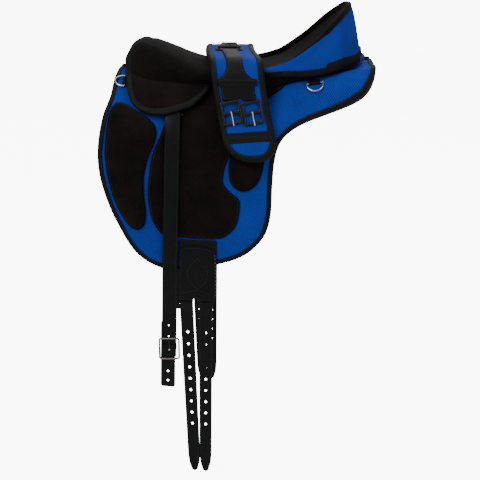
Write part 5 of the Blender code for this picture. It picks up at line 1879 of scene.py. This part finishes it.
@dataclass
class Girth:
    """The padded girth over the seat, with its tapes, straps, buckles and ring."""

    shop: Workshop
    line: GirthLine
    width: float = 0.108
    half_length: float = 0.338
    corner: float = 0.046
    thickness: float = 0.013
    tape: float = 0.0125
    middle: float = -0.004
    elastic_slope: float = 0.07
    # Ribs of the elastic, 2.2 mm from crest to crest
    elastic_ribs: float = 2900.0
    strap_narrow: float = 0.0165
    strap_wide: float = 0.034
    strap_end: float = 0.2122
    buckle_top: float = 0.213
    buckle_height: float = 0.048
    buckle_width: float = 0.041
    buckle_bar: float = 0.0056
    buckle_thickness: float = 0.0034
    tongue_reach: float = 0.0265

    def build(self) -> None:
        """Build the pad, its tape, the top ring and both ends."""
        edge = even(rounded_box(self.width, 2 * self.half_length, self.corner, 12), 0.006, True)
        inner = inset(edge, self.tape - 0.002)

        def pad(x: Array, distance: Array, reach: Array) -> tuple[Array, Array]:
            """A flat underside, and a top with soft unevenness."""
            calm = np.clip(reach / 0.02, 0.0, 1.0)
            return np.zeros(len(x)), self.thickness + 0.0008 * calm + ripple(x, distance, 0.0004, 1.9) * calm

        self.shop.slab("girth_cushion", inner, self.line.over, pad, AIR_MESH, "girth", 0.003,
                       takes=("girth_pad",), fill=0.6)
        section = tape_section(self.tape, -0.0012, self.thickness + 0.0014, 0.0066, 0.0008)
        section = section * (turn_of(edge), 1.0)
        self.shop.band("girth_tape", edge, self.line.over, section, TAPE, "girth", closed=True,
                       takes=("girth_binding",))
        self.shop.stitches("girth_tape_seam", [looped(inner)], self.line.over, self.thickness + 0.0013,
                           "girth")
        self.build_top()
        for side in Side:
            self.build_end(side)

    def build_top(self) -> None:
        """Build the ring on top, with the leather that holds it."""
        spot = Spot.on(self.line.over, self.middle, -0.01, 0.0202)
        box = even(rounded_box(0.046, 0.02, 0.0048, 6) + (0.0, 0.01), 0.0015, True)
        self.shop.wires("girth_top_ring", [spot.at(box[:, 0], box[:, 1], 0.0)], 0.0024, GUNMETAL, "girth",
                        takes=("girth_ring",))
        spot = Spot.on(self.line.over, self.middle + 0.005, 0.004, 0.0225)
        box = even(rounded_box(0.023, 0.014, 0.003, 5) + (0.0, 0.007), 0.0015, True)
        self.shop.wires("girth_top_loop", [spot.at(box[:, 0], box[:, 1] * 0.9, box[:, 1] * 0.2)], 0.0019,
                        GUNMETAL, "girth")
        lift = self.thickness + 0.0016
        leather = even(rounded_box(0.058, 0.058, 0.006, 5) + (self.middle, 0.0), 0.003, True)
        self.shop.slab("girth_top_leather", leather, self.line.over, level(lift - 0.001, lift + 0.0016),
                       LEATHER, "girth", 0.0012, spacing=0.005)

    def build_end(self, side: Side) -> None:
        """Build the leather strap, elastic and buckles of one half of the girth.

        Args:
            side: which side.
        """
        place = one_side(self.line.over, side)
        low, high = self.thickness + 0.0009, self.thickness + 0.0041
        mid, narrow, wide, end = self.middle, self.strap_narrow, self.strap_wide, self.strap_end
        right = smooth([(narrow, 0.014), (narrow, 0.09), (narrow, 0.144), (0.018, 0.1545), (0.0235, 0.1625),
                        (0.0325, 0.1685), (wide, 0.176), (wide, 0.19), (wide, end)], steps=8)
        foot = [(0.006, end), (0.005, end - 0.0035), (0.0, end - 0.005), (-0.005, end - 0.0035),
                (-0.006, end)]
        outline = np.vstack([right, foot, (right * (-1.0, 1.0))[::-1]]) + (mid, 0.0)
        outline = even(outline, 0.003, True)
        worn = topped(low, lambda x, d, e: high + 0.0004 * ramp((e - 0.003) / 0.004))
        self.shop.slab(f"girth_leather_{side.tag}", outline, place, worn, LEATHER, "girth", 0.0014,
                       spacing=0.0055, takes=(f"girth_strap_{side.tag}",))
        self.shop.stitches(f"girth_leather_seam_{side.tag}", [looped(inset(outline, 0.0036))], place,
                           high + 0.0002, "girth")
        for turn in (-1.0, 1.0):
            run = even(np.array([(mid + turn * 0.017, 0.013), (mid + turn * 0.0168, 0.04)]), 0.003)
            self.shop.wires(f"strap_cut_edge_{'front' if turn < 0 else 'rear'}_{side.tag}",
                            [place(run[:, 0], run[:, 1], high)], 0.0014, CUT_EDGE, "girth",
                            closed=False, sides=8)
        bar = even(rounded_box(0.08, 0.0135, 0.003, 4) + (mid + 0.002, 0.176), 0.0035, True)
        self.shop.slab(f"girth_cross_tape_{side.tag}", bar, place, level(high - 0.001, high + 0.0018),
                       LEATHER, "girth", 0.0014, spacing=0.005)
        rows = [even(np.array([(mid - 0.034, at), (mid + 0.038, at)]), 0.004) for at in (0.172, 0.18)]
        self.shop.stitches(f"girth_cross_seam_{side.tag}", rows, place, high + 0.0018, "girth")
        strip = even(rounded_box(0.084, 0.021, 0.001, 2) + (mid + 0.003, 0.2895), 0.004, True)
        strip[:, 1] -= self.elastic_slope * (strip[:, 0] - mid)
        ribbed = topped(self.thickness - 0.001,
                        lambda x, d, e: self.thickness + 0.002 + 0.0004 * np.sin(d * self.elastic_ribs))
        self.shop.slab(f"girth_elastic_{side.tag}", strip, place, ribbed, TAPE, "girth", 0.0012,
                       spacing=0.003)
        for name, turn in (("front", -1.0), ("rear", 1.0)):
            self.build_buckle(side, place, name, mid + turn * 0.021, low + (0.0018 if turn < 0 else 0.0006))

    def build_buckle(self, side: Side, place: Place, name: str, x: float, lift: float) -> None:
        """Build one buckle with its roller and tongue.

        Args:
            side: which side.
            place: the girth's surface on that side.
            name: which of the two buckles it is.
            x: its place across the girth.
            lift: the lift of its underside.
        """
        height, width = self.buckle_height, self.buckle_width
        bar, thick = self.buckle_bar, self.buckle_thickness
        origin = place(x, self.buckle_top, lift + thick / 2)
        down = place(x, self.buckle_top + height, lift + thick / 2) - origin
        out = np.cross(np.array([1.0, 0.0, 0.0]), down)
        out = out * np.sign(out[1] * side.value)
        spot = Spot.of(origin, np.cross(down, out), down, out)
        frame = even(rounded_box(width, height, 0.003, 5) + (0.0, height / 2), 0.002, True)
        window = rounded_box(width - 2 * bar, (height - 3 * bar) / 2, 0.0018, 4)
        centres = (bar + (height - 3 * bar) / 4, height - bar - (height - 3 * bar) / 4)
        holes = [even(window + (0.0, at), 0.002, True) for at in centres]
        faces = level(-thick / 2, thick / 2 + 0.0006)
        self.shop.slab(f"roller_buckle_{name}_{side.tag}", frame, spot.at, faces, GUNMETAL, "girth", 0.0015,
                       spacing=0.003, holes=holes, takes=(f"girth_buckle_{name}_{side.tag}",))
        roller = spot.at(np.linspace(-width / 2 + 0.0045, width / 2 - 0.0045, 8), height - bar / 2, 0.0012)
        self.shop.wires(f"buckle_roller_{name}_{side.tag}", [roller], 0.0026, GUNMETAL, "girth", closed=False)
        tongue = f"girth_tongue_{name}_{side.tag}"
        reach = np.linspace(0.0, self.tongue_reach, 16)
        rise = thick + 0.0003 + 0.0006 * np.sin(reach / self.tongue_reach * math.pi)
        rod = spot.at(0.0, height / 2 + reach, rise)
        self.shop.wires(f"steel_{tongue}", [rod], 0.0016, CHROME, tongue, closed=False, takes=(tongue,))
        wrap = np.linspace(0.0, math.tau, 16, endpoint=False)
        eye = spot.at(0.0, height / 2 + 0.0026 * np.cos(wrap), 0.0008 + 0.0034 * np.sin(wrap))
        self.shop.wires(f"eye_{name}_{side.tag}", [eye], 0.0013, CHROME, tongue, sides=10)


# Leftover nodes, light and floor


def dress_boards() -> None:
    """Give the boards inside the saddle their own finish."""
    for name, node in frame["nodes"].items():
        if name in ("pommel_arch", "cantle_stiffener"):
            node.data.materials.clear()
            node.data.materials.append(BOARD.material())


@dataclass
class Studio:
    """The floor, the light and the camera."""

    floor_height: float = -0.845
    floor_glow: float = 9.0
    sky: float = 0.27

    def glow(self, tree: bpy.types.NodeTree, target: Socket, even_part: float) -> None:
        """Make a strength glow for the camera only, over a part that lights the saddle too.

        Args:
            tree: the nodes of a material or of the sky.
            target: the strength.
            even_part: the part that lights the saddle.
        """
        seen = add(tree, "ShaderNodeLightPath")
        strength = add(tree, "ShaderNodeMath", {0: seen.outputs["Is Camera Ray"], 1: self.floor_glow,
                                                2: even_part}, operation="MULTIPLY_ADD")
        tree.links.new(strength.outputs["Value"], target)

    def floor(self) -> None:
        """Lay a pale matt floor, far enough to fill the picture."""
        bpy.ops.mesh.primitive_plane_add(size=60.0, location=(0.0, 0.0, self.floor_height))
        plane = bpy.context.object
        plane.name = "studio_floor"
        material = bpy.data.materials.new("pale_floor")
        material.use_nodes = True
        shader = material.node_tree.nodes["Principled BSDF"]
        shader.inputs["Base Color"].default_value = (0.92, 0.92, 0.92, 1.0)
        shader.inputs["Roughness"].default_value = 0.9
        shader.inputs["Emission Color"].default_value = (1.0, 1.0, 1.0, 1.0)
        self.glow(material.node_tree, shader.inputs["Emission Strength"], 0.0)
        plane.data.materials.append(material)

    def light(self) -> None:
        """Light softly from above, in front and behind, before a pale room."""
        world = bpy.data.worlds.new("pale_room")
        bpy.context.scene.world = world
        world.use_nodes = True
        sky = world.node_tree.nodes["Background"].inputs
        sky["Color"].default_value = (1.0, 1.0, 1.0, 1.0)
        self.glow(world.node_tree, sky["Strength"], self.sky)
        for name, place, size, power in (("key", (-1.6, -2.2, 2.4), 1.6, 60.0),
                                         ("fill", (2.4, -1.8, 1.4), 2.0, 27.0),
                                         ("top", (0.2, 0.4, 2.6), 1.4, 15.0),
                                         ("back", (0.5, 2.6, 1.8), 1.8, 20.0)):
            lamp = bpy.data.lights.new(name, "AREA")
            lamp.size = size
            lamp.energy = power
            holder = bpy.data.objects.new(name, lamp)
            holder.location = place
            holder.rotation_euler = (-Vector(place)).to_track_quat("-Z", "Y").to_euler()
            bpy.context.scene.collection.objects.link(holder)

    def camera(self) -> None:
        """Set the camera where the photograph was taken from."""
        lens = bpy.data.cameras.new("camera")
        lens.sensor_width = 36.0
        lens.lens = 70.125
        eye = bpy.data.objects.new("camera", lens)
        eye.location = (0.0, -2.0448, 0.3)
        eye.rotation_euler = (math.radians(72.0), 0.0, 0.0)
        bpy.context.scene.collection.objects.link(eye)
        bpy.context.scene.camera = eye


def main() -> None:
    """Build the whole saddle and report each piece."""
    logging.basicConfig(level=logging.INFO, format="%(name)s: %(message)s")
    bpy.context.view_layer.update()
    shop = Workshop()
    arch = Arch()
    flaps, seat, blocks = Flaps(shop, arch), Seat(shop, arch), Blocks(shop, arch)
    straps, rings, girth = StrapWork(shop, arch), Rings(shop, arch), Girth(shop, GirthLine())
    for side in Side:
        flaps.build_base(side)
        flaps.build_binding(side)
        flaps.build_panel(side)
        seat.build_skirt(side)
        blocks.build(side)
        straps.build_patch(side)
        straps.build_billet(side, "front", -0.112, 0.03)
        straps.build_billet(side, "rear", -0.0715, -0.012)
        straps.build_ring(side)
        straps.build_leather(side)
        straps.build_leather_buckle(side)
        rings.build(side)
    flaps.build_spine()
    straps.build_webbing()
    seat.build()
    girth.build()
    dress_boards()
    studio = Studio()
    studio.floor()
    studio.light()
    studio.camera()
    LOG.info("%d pieces", len(shop.made))


if __name__ == "__main__":
    main()
